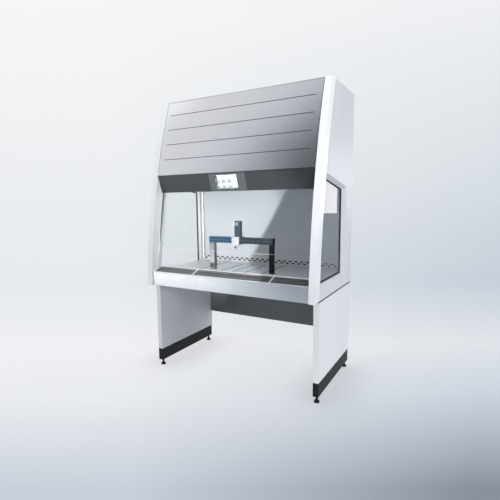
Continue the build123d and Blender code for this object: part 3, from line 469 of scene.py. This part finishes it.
def turned(work, profile, place, axis=(0, 0, 1), steps=24):
    """A turned shape from (radius, height) points, standing at place along axis."""
    verts = [work.verts.new((radius, 0, height)) for radius, height in profile]
    edges = [work.edges.new(pair) for pair in zip(verts, verts[1:])]
    before = set(work.verts)
    bmesh.ops.spin(work, geom=verts + edges, axis=(0, 0, 1), cent=(0, 0, 0), steps=steps,
                   angle=2 * math.pi, use_merge=True)
    new = verts + [v for v in work.verts if v not in before]
    new = [v for v in new if v.is_valid]
    spin = Vector(axis).to_track_quat("Z", "Y").to_matrix().to_4x4()
    bmesh.ops.transform(work, matrix=Matrix.Translation(place) @ spin, verts=new)
    bmesh.ops.remove_doubles(work, verts=new, dist=1e-6)


def screw(work, place, axis, radius=0.004):
    """A domed screw head with a round recess, its flat side on place."""
    r = radius
    turned(work, [(0.0001, 0.25 * r), (0.42 * r, 0.25 * r), (0.45 * r, 0.62 * r), (0.7 * r, 0.56 * r),
                  (0.93 * r, 0.3 * r), (r, 0.0)], place, axis, steps=20)


def ring_strip(outline, width, x0, x1):
    """A flat strip that follows a closed outline in the YZ plane, between two x values."""
    work = bmesh.new()
    face = work.faces.new([work.verts.new((x0, y, z)) for y, z in outline])
    face.normal_update()
    bmesh.ops.inset_region(work, faces=[face], thickness=width, use_boundary=True, use_even_offset=True)
    bmesh.ops.delete(work, geom=[face], context="FACES_ONLY")
    grown = bmesh.ops.extrude_face_region(work, geom=work.faces[:])
    moved = [v for v in grown["geom"] if isinstance(v, bmesh.types.BMVert)]
    bmesh.ops.translate(work, verts=moved, vec=(x1 - x0, 0, 0))
    return work


# %% [markdown]
# ### Screws and gaskets
# Domed screws hold the roof and the exhaust collar. A rubber strip runs round each window, just
# inside its bevel.

# %%
roof_low, roof_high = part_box("top_panel")
collar_low, collar_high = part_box("exhaust_collar")
collar_mid = (collar_low + collar_high) / 2
work = bmesh.new()
for i in range(7):
    y = roof_low.y + 0.10 + i * (roof_high.y - roof_low.y - 0.14) / 6
    for x in (roof_low.x + 0.012, roof_high.x - 0.012):
        screw(work, (x, y, roof_high.z), (0, 0, 1), 0.0018)
for i in range(8):
    a = math.radians(22.5 + 45 * i)
    reach = (collar_high.x - collar_low.x) / 2 - 0.011
    place = (collar_mid.x + reach * math.cos(a), collar_mid.y + reach * math.sin(a), collar_low.z + 0.003)
    screw(work, place, (0, 0, 1), 0.005)
piece("roof_screws", work, "screw_steel", "cabinet", "screw_steel")

glass_low, glass_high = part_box("side_windows")
SILL, BACK_EDGE = glass_low.z + 0.014, glass_high.y - 0.014
TOP_BACK, TOP_FRONT = (BACK_EDGE, 1.5335), (-0.2375, 1.6120)
FRONT_EDGE = [(-0.2375, 1.612), (-0.2565, 1.5), (-0.2845, 1.35), (-0.3075, 1.2), (-0.3255, 1.05),
              (-0.3445, 0.858)]
outline = [*FRONT_EDGE, (BACK_EDGE, SILL), TOP_BACK]
for side, sign in (("left", -1), ("right", 1)):
    work = ring_strip(outline, 0.007, sign * (glass_high.x + 0.0002), sign * (glass_high.x + 0.005))
    piece("window_gasket_" + side, work, "belt_rubber", "cabinet", "belt_rubber")
    work = ring_strip(outline, 0.011, sign * (glass_high.x - 0.0068), sign * (glass_high.x - 0.0078))
    piece("window_trim_" + side, work, "motor_black", "cabinet", "motor_black")
print("window gaskets from", round(SILL, 3), "to", TOP_FRONT)

# %% [markdown]
# ### Worktop seals and grille mesh
# Black seals fill the worktop's seams and grooves, and a catch screen lies under each grille; it and a
# strip under the deck's slots are black as painted shade in the openings.

# %%
deck_low, deck_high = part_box("deck_plate")
left_high, right_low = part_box("worktop_left")[1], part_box("worktop_right")[0]
work = bmesh.new()
for x0, x1 in ((left_high.x, deck_low.x), (deck_high.x, right_low.x)):
    block(work, (x0 - 0.003, deck_low.y + 0.001, deck_high.z),
          (x1 + 0.003, deck_high.y - 0.001, deck_high.z + 0.0006),
          0.0003)
for x in (-0.160, -0.050, 0.062):
    block(work, (x - 0.0045, deck_low.y + 0.0135, deck_high.z),
          (x + 0.0045, 0.1725, deck_high.z + 0.0006), 0.0003)
piece("worktop_seals", work, "belt_rubber", "cabinet", "belt_rubber")
# painted shade: black strips under the deck's slots
work = bmesh.new()
for x0, x1 in ((-0.150, -0.060), (-0.040, 0.052)):
    block(work, (x0, 0.1785, deck_high.z - 0.0014), (x1, 0.1875, deck_high.z - 0.0004), 0.0003)
piece("deck_slot_shade_strip", work, "motor_black", "cabinet", "motor_black")

low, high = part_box("grille_centre")
slope = math.atan2(high.z - low.z - 0.004, high.y - low.y)
# the catch screens are black as painted shade under the grilles' openings
for name in ("grille_left", "grille_centre", "grille_right"):
    low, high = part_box(name)
    run = math.hypot(high.y - low.y, high.z - low.z) - 0.012
    lay = Matrix.Translation((0, low.y + 0.006, low.z - 0.0045)) @ Matrix.Rotation(slope, 4, "X")
    work = bmesh.new()
    block(work, (low.x + 0.006, 0, 0), (high.x - 0.006, run, 0.0006), 0.0001, lay)
    piece(name + "_mesh", work, "column_black", "cabinet", "motor_black")

# %% [markdown]
# ### Coved corners
# A rounded steel profile closes each rear corner of the chamber, so that it wipes clean.

# %%
for side, sign in (("left", -1), ("right", 1)):
    wall_x, wall_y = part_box("back_wall")[1].x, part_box("back_wall")[0].y
    foot, head = deck_high.z + 0.0005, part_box("back_wall")[1].z - 0.001
    cove = [(0.0005, 0.0005), (0.030, 0.0005)]
    cove += [(0.030 - 0.0285 * math.sin(a), 0.030 - 0.0285 * math.cos(a))
             for a in (math.radians(9 * k) for k in range(1, 10))] + [(0.0005, 0.030)]
    work = bmesh.new()
    face = work.faces.new([work.verts.new((sign * (wall_x - dx), wall_y - dy, foot)) for dx, dy in cove])
    grown = bmesh.ops.extrude_face_region(work, geom=[face])
    moved = [v for v in grown["geom"] if isinstance(v, bmesh.types.BMVert)]
    bmesh.ops.translate(work, verts=moved, vec=(0, 0, head - foot))
    piece("corner_cove_" + side, work, "corner_steel", "cabinet", "stainless")

# %% [markdown]
# ### Painted shade in slots, grooves and gaps
# A black screen behind the slotted foot of the back wall, black inlays in the four grooves of the cover,
# and a black strip in the gap at each side of it: each paints the shade in that opening.

# %%
wall_low, wall_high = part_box("back_wall")
# painted shade: a black sheet behind the wall's slots
work = bmesh.new()
block(work, (wall_low.x + 0.01, wall_high.y + 0.0004, deck_high.z + 0.006),
      (wall_high.x - 0.01, wall_high.y + 0.0016, deck_high.z + 0.046), 0.0003)
piece("slot_shade_sheet", work, "column_black", "cabinet", "motor_black")

ARC_Y, ARC_Z, ARC_R = 5.05077, 0.49092, 5.49887


def front(z, inset=0.0):
    """The curved front of the cabinet at a height, and how it slopes there."""
    slope = math.asin((z - ARC_Z) / ARC_R)
    reach = ARC_R - inset
    return Vector((0, ARC_Y - reach * math.cos(slope), ARC_Z + reach * math.sin(slope))), slope


cover_low, cover_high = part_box("front_cover")
# painted shade: black strips at the bottom of the cover's grooves
work = bmesh.new()
for i in range(1, 5):
    place, slope = front(cover_low.z + 0.004 + i * 0.126, 0.0026)
    lay = Matrix.Translation(place) @ Matrix.Rotation(-slope, 4, "X")
    block(work, (cover_low.x + 0.0465, -0.0009, -0.0021),
          (cover_high.x - 0.0465, 0.0003, 0.0021), 0.0003, lay)
piece("cover_groove_shade", work, "column_black", "cover", "motor_black")
# painted shade: a black strip in the shadow gap at each side of the cover
work = bmesh.new()
for side in (-1, 1):
    x0, x1 = sorted((side * (cover_high.x + 0.0006), side * (cover_high.x + 0.0038)))
    spans = [cover_low.z + 0.002 + k * (2.27 - cover_low.z) / 12 for k in range(13)]
    for z0, z1 in zip(spans, spans[1:]):
        corners = [front(z, inset)[0] for z, inset in ((z0, 0.005), (z1, 0.005), (z1, 0.012), (z0, 0.012))]
        loops = [[work.verts.new((x, c.y, c.z)) for c in corners] for x in (x0, x1)]
        for loop in loops:
            work.faces.new(loop)
        for k in range(4):
            m = (k + 1) % 4
            work.faces.new((loops[0][k], loops[0][m], loops[1][m], loops[1][k]))
piece("cover_gap_shade_strip", work, "belt_rubber", "cabinet", "belt_rubber", smooth=False)

# %% [markdown]
# ### Sash
# The glass has polished lower and side edges. Behind the cover, teeth line the two belts, which lie in the
# leaning plane of the sash.

# %%
LEAN = math.radians(10)
SASH_Y, SASH_Z = -0.327, 1.055
leaning = Matrix.Translation((0, SASH_Y, SASH_Z)) @ Matrix.Rotation(-LEAN, 4, "X")
sash_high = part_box("sash_glass")[1]
half_sash = sash_high.x

work = bmesh.new()
block(work, (-half_sash + 0.002, 0.0006, 0.0004), (half_sash - 0.002, 0.0074, 0.0022), 0.0004, leaning)
piece("sash_edge", work, "glass_edge", "sash", "clear_glass")
work = bmesh.new()
for x0, x1 in ((-half_sash + 0.001, -half_sash + 0.0035), (half_sash - 0.0035, half_sash - 0.001)):
    block(work, (x0, 0.0006, 0.002), (x1, 0.0074, 0.698), 0.0004, leaning)
piece("sash_side_edges", work, "glass_edge", "sash", "clear_glass")

work = bmesh.new()
for side in (-1, 1):
    for depth in (0.031 - 0.0119, 0.031 + 0.0119):
        for i in range(112):
            u = 0.520 + i * 0.005
            x0, x1 = sorted((side * 0.6725, side * 0.6815))
            block(work, (x0, depth - 0.0005, u), (x1, depth + 0.0005, u + 0.0024), 0.0002, leaning)
piece("belt_teeth", work, "belt_rubber", "cabinet", "belt_rubber", smooth=False)

work = bmesh.new()
for x in (-0.55, -0.2, 0.2, 0.55):
    screw(work, leaning @ Vector((x, -0.005, 0.702)), (0, -1, 0.17), 0.0035)
piece("sash_carrier_screws", work, "screw_steel", "sash", "screw_steel")

# %% [markdown]
# ### Touch screen
# Six blank tiles with simple marks: a fan, a lamp, two arrows, a drop and a level. There is no
# lettering.

# %%
screen = nodes["display_screen"].data
front_face = min(screen.polygons, key=lambda f: f.normal.y * f.area)
out_of = front_face.normal.copy()
centre = sum((screen.vertices[i].co for i in front_face.vertices), Vector()) / len(front_face.vertices)
upward = out_of.cross(Vector((1, 0, 0)))
upward = upward if upward.z > 0 else -upward
on_screen = Matrix.Translation(centre) @ Matrix((Vector((1, 0, 0)), upward, out_of)).transposed().to_4x4()


def disc(work, x, y, radius, thick=0.0003, sides=24, squeeze=1.0, angle=0.0):
    """A thin flat disc or polygon on the screen."""
    spin = Matrix.Translation((x, y, 0.0004 + thick / 2)) @ Matrix.Rotation(angle, 4, "Z")
    made = bmesh.ops.create_cone(work, cap_ends=True, segments=sides, radius1=radius, radius2=radius * 0.96,
                                 depth=thick, matrix=spin @ Matrix.Diagonal((1, squeeze, 1, 1)))
    return made["verts"]


tiles, marks = bmesh.new(), bmesh.new()
TILE_W, TILE_H, STEP_X, STEP_Y = 0.046, 0.036, 0.054, 0.044
for row in (0, 1):
    for column in (-1, 0, 1):
        x, y = column * STEP_X, (row - 0.5) * STEP_Y - 0.003
        block(tiles, (x - TILE_W / 2, y - TILE_H / 2, 0), (x + TILE_W / 2, y + TILE_H / 2, 0.0004), 0.00015)
        if (row, column) == (1, -1):
            for k in range(3):
                a = math.radians(90 + 120 * k)
                disc(marks, x + 0.006 * math.cos(a), y + 0.006 * math.sin(a), 0.0062, squeeze=0.5, angle=a)
        elif (row, column) == (1, 0):
            disc(marks, x, y + 0.001, 0.0075)
            disc(marks, x, y - 0.009, 0.0035, squeeze=0.6)
        elif (row, column) == (1, 1):
            disc(marks, x, y, 0.0105, sides=3, angle=math.radians(90))
        elif (row, column) == (0, -1):
            disc(marks, x, y, 0.0105, sides=3, angle=math.radians(-90))
        elif (row, column) == (0, 0):
            disc(marks, x, y - 0.002, 0.0068)
            disc(marks, x, y + 0.0052, 0.0058, sides=3, angle=math.radians(90))
        else:
            for k in range(3):
                block(marks, (x - 0.012 + 0.009 * k, y - 0.009, 0.0004),
                      (x - 0.006 + 0.009 * k, y - 0.002 + 0.005 * k, 0.0007), 0.0001)
block(tiles, (-0.083, 0.0452, 0), (0.083, 0.0488, 0.0003), 0.0001)
for work in (tiles, marks):
    bmesh.ops.transform(work, matrix=on_screen, verts=work.verts)
piece("screen_tiles", tiles, "screen_tile", "cabinet", "screen_white", smooth=False)
piece("screen_marks", marks, "screen_mark", "cabinet", "screen_white", smooth=False)

# %% [markdown]
# ### Dosing gantry
# Screws on the carriage, slots and end caps on the beam, seams, screws and a cover plate on the
# tower, and a front plate and a knurled collar on the head.

# %%
beam_low, beam_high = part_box("gantry_beam")
carriage_low, carriage_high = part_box("gantry_carriage")
tower_low, tower_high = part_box("gantry_tower")
head_low, head_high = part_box("dosing_head")
nozzle_low, nozzle_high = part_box("dosing_nozzle")
middle_z = (beam_low.z + beam_high.z) / 2

work = bmesh.new()
for x in (beam_low.x, beam_high.x):
    inner = x + math.copysign(0.004, -x)
    block(work, (min(x, inner), beam_low.y - 0.0004, beam_low.z - 0.0004),
          (max(x, inner), beam_high.y + 0.0004, beam_high.z + 0.0004), 0.0008)
piece("beam_end_caps", work, "column_black", "cabinet", "column_black")

work = bmesh.new()
for z in (middle_z - 0.013, middle_z + 0.013):
    for x0, x1 in ((beam_low.x + 0.006, carriage_low.x - 0.004),
                   (carriage_high.x + 0.004, beam_high.x - 0.006)):
        block(work, (x0, beam_low.y - 0.0003, z - 0.0016), (x1, beam_low.y + 0.0006, z + 0.0016), 0.0003)
piece("beam_slots", work, "column_black", "cabinet", "column_black")

work = bmesh.new()
for x in (carriage_low.x + 0.008, carriage_high.x - 0.008):
    for z in (carriage_low.z + 0.009, carriage_high.z - 0.009):
        screw(work, (x, carriage_low.y, z), (0, -1, 0), 0.0032)
piece("carriage_screws", work, "screw_steel", "carriage", "screw_steel")

work = bmesh.new()
for z in (0.25, 0.62, 0.93):
    level = tower_low.z + z * (tower_high.z - tower_low.z)
    block(work, (tower_low.x - 0.0003, tower_low.y - 0.0003, level - 0.0006),
          (tower_high.x + 0.0003, tower_high.y + 0.0003, level + 0.0006), 0.0002)
piece("tower_seams", work, "motor_black", "carriage", "motor_black")
work = bmesh.new()
mid_x = (tower_low.x + tower_high.x) / 2
block(work, (mid_x - 0.012, tower_low.y - 0.0008, tower_high.z - 0.036),
      (mid_x + 0.012, tower_low.y + 0.0002, tower_high.z - 0.010), 0.0005)
piece("tower_cover_plate", work, "drive_aluminium", "carriage", "drive_aluminium")
work = bmesh.new()
for x in (tower_low.x + 0.006, tower_high.x - 0.006):
    for z in (tower_high.z - 0.036, tower_high.z - 0.008):
        screw(work, (x, tower_low.y, z), (0, -1, 0), 0.0022)
piece("tower_screws", work, "screw_steel", "carriage", "screw_steel")

work = bmesh.new()
block(work, (head_low.x + 0.006, head_low.y - 0.0012, head_low.z + 0.012),
      (head_high.x - 0.006, head_low.y + 0.0004, head_high.z - 0.010), 0.001)
piece("head_plate", work, "head_white", "head", "head_white")
work = bmesh.new()
for x in (head_low.x + 0.011, head_high.x - 0.011):
    for z in (head_low.z + 0.017, head_high.z - 0.015):
        screw(work, (x, head_low.y - 0.0012, z), (0, -1, 0), 0.0018)
piece("head_screws", work, "screw_steel", "head", "screw_steel")

axis_x, axis_y = (nozzle_low.x + nozzle_high.x) / 2, (nozzle_low.y + nozzle_high.y) / 2
collar_r = (nozzle_high.x - nozzle_low.x) / 2 + 0.0012
work = bmesh.new()
turned(work, [(collar_r * 0.8, -0.019), (collar_r, -0.0182), (collar_r, -0.0015),
              (collar_r * 0.9, -0.0002)],
       (axis_x, axis_y, head_low.z), steps=40)
for k in range(20):
    a = 2 * math.pi * k / 20
    spin = (Matrix.Translation((axis_x, axis_y, head_low.z - 0.0048)) @ Matrix.Rotation(a, 4, "Z")
            @ Matrix.Translation((collar_r, 0, 0)))
    block(work, (-0.0004, -0.0007, -0.0028), (0.0005, 0.0007, 0.0028), 0.0002, spin)
piece("nozzle_collar", work, "nozzle_steel", "head", "nozzle_steel")

# %% [markdown]
# ### Feet, lamp ends and filter
# The foot stems get a real thread and a lock nut. The lamp gets its end caps, and pleated paper
# shows through the exhaust collar.

# %%
for name in ("front_left", "front_right", "back_left", "back_right"):
    low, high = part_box("foot_" + name)
    x, y = (low.x + high.x) / 2, (low.y + high.y) / 2
    body = "foot_" + {"front_left": "fl", "front_right": "fr", "back_left": "bl", "back_right": "br"}[name]
    work = bmesh.new()
    corners = [work.verts.new(p) for p in ((0.0078, 0, -0.0006), (0.0086, 0, 0), (0.0078, 0, 0.0006))]
    edges = [work.edges.new(pair) for pair in zip(corners, corners[1:])]
    bmesh.ops.spin(work, geom=corners + edges, axis=(0, 0, 1), cent=(0, 0, 0), dvec=(0, 0, 0.00008),
                   steps=17 * 24, angle=17 * 2 * math.pi)
    bmesh.ops.translate(work, verts=work.verts, vec=(x, y, low.z + 0.0135))
    piece("foot_thread_" + name, work, "foot_black", body, "foot_black")
    work = bmesh.new()
    turned(work, [(0.0088, 0.0), (0.0125, 0.0), (0.0138, 0.001), (0.0138, 0.0055), (0.0125, 0.0065),
                  (0.0088, 0.0065)],
           (x, y, low.z + 0.0135), steps=6)
    piece("foot_nut_" + name, work, "foot_black", body, "foot_black", smooth=False)

lamp_low, lamp_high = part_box("lamp")
work = bmesh.new()
lamp_y, lamp_r = (lamp_low.y + lamp_high.y) / 2, 0.0136
lamp_z = lamp_low.z + 0.013
for x, way in ((-0.6, 1), (0.6, -1)):
    turned(work, [(0.0001, -0.0005), (lamp_r, -0.0005), (lamp_r, 0.024), (lamp_r - 0.001, 0.0245)],
           (x, lamp_y, lamp_z), (way, 0, 0))
piece("lamp_end_caps", work, "drive_aluminium", "cabinet", "drive_aluminium")

work = bmesh.new()
pleat, count, deep = 0.0032, 84, 0.009
filter_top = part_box("exhaust_filter")[1].z
rows = []
for i in range(count + 1):
    x = collar_mid.x + (i - count / 2) * pleat
    z = filter_top - 0.004 - (deep if i % 2 else 0.0)
    rows.append([work.verts.new((x, collar_mid.y + side * 0.135, z)) for side in (-1, 1)])
for a, b in zip(rows, rows[1:]):
    work.faces.new((a[0], b[0], b[1], a[1]))
piece("exhaust_pleats", work, "filter_paper", "cabinet", "filter_body", smooth=False)

# %% [markdown]
# ## Studio
# A pale floor and a pale backdrop that glow with painted light, darker towards the camera and with painted
# contact shade round the cabinet, a key light from the front right, a broad fill from the left, a slanted
# card that the cover reflects, and a dark flag behind it. A spot lights the chamber past a slanted edge,
# and a white card stands behind the right window.


# %%
def stage_sheet(name, corners):
    """A flat stage piece through the given corners, with a plain material of its own."""
    work = bmesh.new()
    work.faces.new([work.verts.new(p) for p in corners])
    mesh = bpy.data.meshes.new(name)
    work.to_mesh(mesh)
    work.free()
    piece = bpy.data.objects.new(name, mesh)
    bpy.context.collection.objects.link(piece)
    material = bpy.data.materials.new(name)
    material.use_nodes = True
    mesh.materials.append(material)
    return material.node_tree, material.node_tree.nodes["Principled BSDF"]


def area_light(name, place, target, width, height, power, colour=(1, 1, 1)):
    light = bpy.data.lights.new(name, "AREA")
    light.shape = "RECTANGLE"
    light.size, light.size_y = width, height
    light.energy, light.color = power, colour
    lamp = bpy.data.objects.new(name, light)
    bpy.context.collection.objects.link(lamp)
    lamp.location = place
    lamp.rotation_euler = (Vector(target) - Vector(place)).to_track_quat("-Z", "Y").to_euler()
    return lamp


def stops(tree, source, *pairs):
    """A colour ramp through (position, colour) pairs."""
    node = tree.nodes.new("ShaderNodeValToRGB")
    band = node.color_ramp
    for i, (place, colour) in enumerate(pairs):
        stop = band.elements[i] if i < 2 else band.elements.new(place)
        stop.position = place
        stop.color = (*colour, 1)
    tree.links.new(source, node.inputs[0])
    return node.outputs[0]


def painted_backdrop_light(tree):
    """The studio's painted light: its colour and brightness from the height and side of a point as seen
    from the camera's place.
    """
    where = add(tree, "ShaderNodeTexCoord").outputs["Object"]
    offset = add(tree, "ShaderNodeVectorMath", operation="SUBTRACT")
    offset.inputs[1].default_value = camera.location
    tree.links.new(where, offset.inputs[0])

    def along(axis):
        node = add(tree, "ShaderNodeVectorMath", operation="DOT_PRODUCT")
        node.inputs[1].default_value = axis
        tree.links.new(offset.outputs[0], node.inputs[0])
        return node.outputs["Value"]

    forward = math_node(tree, "MAXIMUM", along(ahead), 0.3)
    height = math_node(tree, "DIVIDE", along((0, 0, 1)), forward)
    aside = math_node(tree, "DIVIDE", along(across), forward)
    # painted light: brightness set by how high and how far aside a point looks from the camera
    reach = ramp(tree, height, -0.80, 0.60)
    left = stops(tree, reach, *((place, colour) for place, colour, _ in PAINTED_STUDIO_LIGHT))
    right_side = stops(tree, reach, *((place, colour) for place, _, colour in PAINTED_STUDIO_LIGHT))
    return mix_colour(tree, ramp(tree, aside, -0.35, 0.62), left, right_side)


# painted light on floor and backdrop: how high a point looks, then its colour at the left and at the right:
# dim near the camera, bright round the object's feet, a soft grey band at the horizon and nearly white at
# the top, darker at the right
PAINTED_STUDIO_LIGHT = [
    (0.0, (0.58, 0.63, 0.70), (0.25, 0.28, 0.34)), (0.2, (0.82, 0.84, 0.87), (0.61, 0.66, 0.73)),
    (0.3, (0.87, 0.88, 0.90), (0.76, 0.79, 0.83)), (0.42, (0.80, 0.83, 0.86), (0.58, 0.63, 0.70)),
    (0.6, (0.86, 0.88, 0.90), (0.70, 0.75, 0.79)), (0.95, (0.95, 0.96, 0.96), (0.90, 0.91, 0.93))]


def seen_as(name, corners):
    """A stage sheet that the camera and reflections see glowing in the studio's painted light, with painted
    contact shade near the cabinet.
    """
    tree, shader = stage_sheet(name, corners)
    colour = painted_backdrop_light(tree)
    tree.links.new(colour, shader.inputs["Base Color"])
    # painted contact shade: an occlusion node darkens the glow near the cabinet
    occlusion_shade = add(tree, "ShaderNodeAmbientOcclusion", samples=8, Distance=0.35)
    tree.links.new(colour, occlusion_shade.inputs["Color"])
    far = add(tree, "ShaderNodeVectorMath", operation="LENGTH")
    tree.links.new(add(tree, "ShaderNodeTexCoord").outputs["Object"], far.inputs[0])
    near = ramp(tree, far.outputs["Value"], 1.5, 4.0, 0.45, 0.0)
    painted_contact_shade = mix_colour(tree, near, colour, occlusion_shade.outputs["Color"])
    glow = tree.nodes.new("ShaderNodeEmission")
    tree.links.new(painted_contact_shade, glow.inputs["Color"])
    path = tree.nodes.new("ShaderNodeLightPath")
    looked_at = math_node(tree, "MAXIMUM", path.outputs["Is Camera Ray"], path.outputs["Is Glossy Ray"])
    both = tree.nodes.new("ShaderNodeMixShader")
    tree.links.new(math_node(tree, "MULTIPLY", looked_at, 0.93), both.inputs[0])
    tree.links.new(shader.outputs[0], both.inputs[1])
    tree.links.new(glow.outputs[0], both.inputs[2])
    tree.links.new(both.outputs[0], tree.nodes["Material Output"].inputs["Surface"])


seen_as("floor", [(-40, -40, 0), (40, -40, 0), (40, 14, 0), (-40, 14, 0)])
seen_as("backdrop", [(-40, 14, 0), (40, 14, 0), (40, 14, 30), (-40, 14, 30)])
FLAG_Y, CARD_Y, STAGE_RIGHT = -3.6, -3.5, 2.8
FLAG_EDGE = [(-1.9, 0.02), (STAGE_RIGHT, 0.02), (STAGE_RIGHT, 7.5), (-0.2, 7.5), (-3.04, 3.5),
             (-3.3, 3.1), (-1.9, 2.6)]
tree, shader = stage_sheet("flag", [(x, FLAG_Y, z) for x, z in FLAG_EDGE])
shader.inputs["Base Color"].default_value = (0.02, 0.02, 0.02, 1)
where = add(tree, "ShaderNodeTexCoord").outputs["Object"]
split = add(tree, "ShaderNodeSeparateXYZ")
tree.links.new(where, split.inputs[0])
fade = stops(tree, ramp(tree, split.outputs[0], -3.3, 0.2), (0.0, (0.62, 0.66, 0.76)),
             (0.3, (0.50, 0.54, 0.63)), (0.75, (0.17, 0.19, 0.22)), (1.0, (0.12, 0.13, 0.15)))
tree.links.new(fade, shader.inputs["Emission Color"])
shader.inputs["Emission Strength"].default_value = 1.0

# the cover reflects this card, which is bright at the left and dark past a slanted line
CARD_LEFT, CARD_FOOT, CARD_TOP = -7.0, 2.9, 8.5
tree, shader = stage_sheet("cover_card", [(CARD_LEFT, CARD_Y, CARD_FOOT), (STAGE_RIGHT, CARD_Y, CARD_FOOT),
                                          (STAGE_RIGHT, CARD_Y, CARD_TOP), (CARD_LEFT, CARD_Y, CARD_TOP)])
slant = add(tree, "ShaderNodeVectorMath", operation="DOT_PRODUCT")
slant.inputs[1].default_value = (1.0, 0.0, -0.475)
tree.links.new(add(tree, "ShaderNodeTexCoord").outputs["Object"], slant.inputs[0])
shine = add(tree, "ShaderNodeEmission", Strength=1.7)
tree.links.new(stops(tree, ramp(tree, slant.outputs["Value"], -8.33, -2.03),
                     (0.0, (0.94, 0.94, 0.95)), (0.317, (0.92, 0.92, 0.93)), (0.524, (0.81, 0.82, 0.84)),
                     (0.660, (0.66, 0.68, 0.74)), (0.695, (0.52, 0.54, 0.60)), (0.762, (0.38, 0.40, 0.44)),
                     (0.905, (0.10, 0.11, 0.12)), (1.0, (0.06, 0.06, 0.07))), shine.inputs["Color"])
clear, mirrored = tree.nodes.new("ShaderNodeBsdfTransparent"), tree.nodes.new("ShaderNodeMixShader")
tree.links.new(tree.nodes.new("ShaderNodeLightPath").outputs["Is Glossy Ray"], mirrored.inputs[0])
tree.links.new(clear.outputs[0], mirrored.inputs[1])
tree.links.new(shine.outputs[0], mirrored.inputs[2])
tree.links.new(mirrored.outputs[0], tree.nodes["Material Output"].inputs["Surface"])

GOBO_X = 1.75
GOBO_EDGE = [(-2.300, 1.0), (-1.808, 1.6), (-1.3, 1.6), (-1.3, 1.0)]
tree, shader = stage_sheet("gobo", [(GOBO_X, y, z) for y, z in GOBO_EDGE])
shader.inputs["Base Color"].default_value = (0.5, 0.5, 0.5, 1)
tree, shader = stage_sheet("card", [(2.3, 6, 1.16), (3.3, 6, 1.16), (3.3, 6, 2.6), (2.3, 6, 2.6)])
shader.inputs["Emission Strength"].default_value = 3.6

BOUNCE_EDGE = [(-6.5, -6.5), (-1.3, -6.5), (-1.0, -3.2), (-6.5, -3.2)]
tree, shader = stage_sheet("bounce", [(x, y, 0.01) for x, y in BOUNCE_EDGE])
shader.inputs["Emission Strength"].default_value = 1.3

area_light("key", (4.6, -3.6, 2.4), (0, 0, 1.2), 1.2, 1.2, 132)
area_light("fill", (-5.8, -3.8, 4.6), (0, 0, 1.4), 9.0, 6.0, 145)
area_light("overhead", (0, 0.5, 6.5), (0, 0, 0), 6.0, 5.0, 50)
front_light = area_light("front", (2.5, -3.35, 2.2), (0.4, -0.3, 0.8), 0.8, 0.8, 42)
lit = bpy.data.collections.new("front_lit")
for name in ("front_post_right", "stand_gable_right", "deck_plate", "worktop_left", "worktop_right"):
    lit.objects.link(nodes[name])
front_light.light_linking.receiver_collection = lit
beam = bpy.data.objects.new("chamber_beam", bpy.data.lights.new("chamber_beam", "SPOT"))
bpy.context.collection.objects.link(beam)
beam.location = (2.71, -3.36, 1.35)
beam.rotation_euler = (Vector((-0.70, 0.298, 1.25)) - beam.location).to_track_quat("-Z", "Y").to_euler()
beam.data.energy, beam.data.shadow_soft_size = 810, 0.012
beam.data.spot_size, beam.data.spot_blend = math.radians(21), 0.6
blockers = bpy.data.collections.new("beam_blockers")
for name in ("gobo", "front_post_right", "side_panel_right", "control_fascia", "front_cover",
             "grille_frame"):
    blockers.objects.link(nodes.get(name) or bpy.data.objects[name])
beam.light_linking.blocker_collection = blockers
left_out = bpy.data.collections.new("beam_left_out")
for name in ("front_post_left", "stand_gable_left", "apron"):
    left_out.objects.link(nodes[name])
for held in left_out.collection_objects:
    held.light_linking.link_state = "EXCLUDE"
beam.light_linking.receiver_collection = left_out

world = bpy.data.worlds.new("studio")
bpy.context.scene.world = world
world.use_nodes = True
tree, sky = world.node_tree, world.node_tree.nodes["Background"]
sky.inputs["Color"].default_value = (0.88, 0.90, 0.93, 1)
split = add(tree, "ShaderNodeSeparateXYZ")
tree.links.new(add(tree, "ShaderNodeTexCoord").outputs["Generated"], split.inputs[0])
tree.links.new(ramp(tree, split.outputs[2], 0.3, 0.8, 0.62, 1.0), sky.inputs["Strength"])
bpy.context.scene.view_settings.view_transform = "Standard"
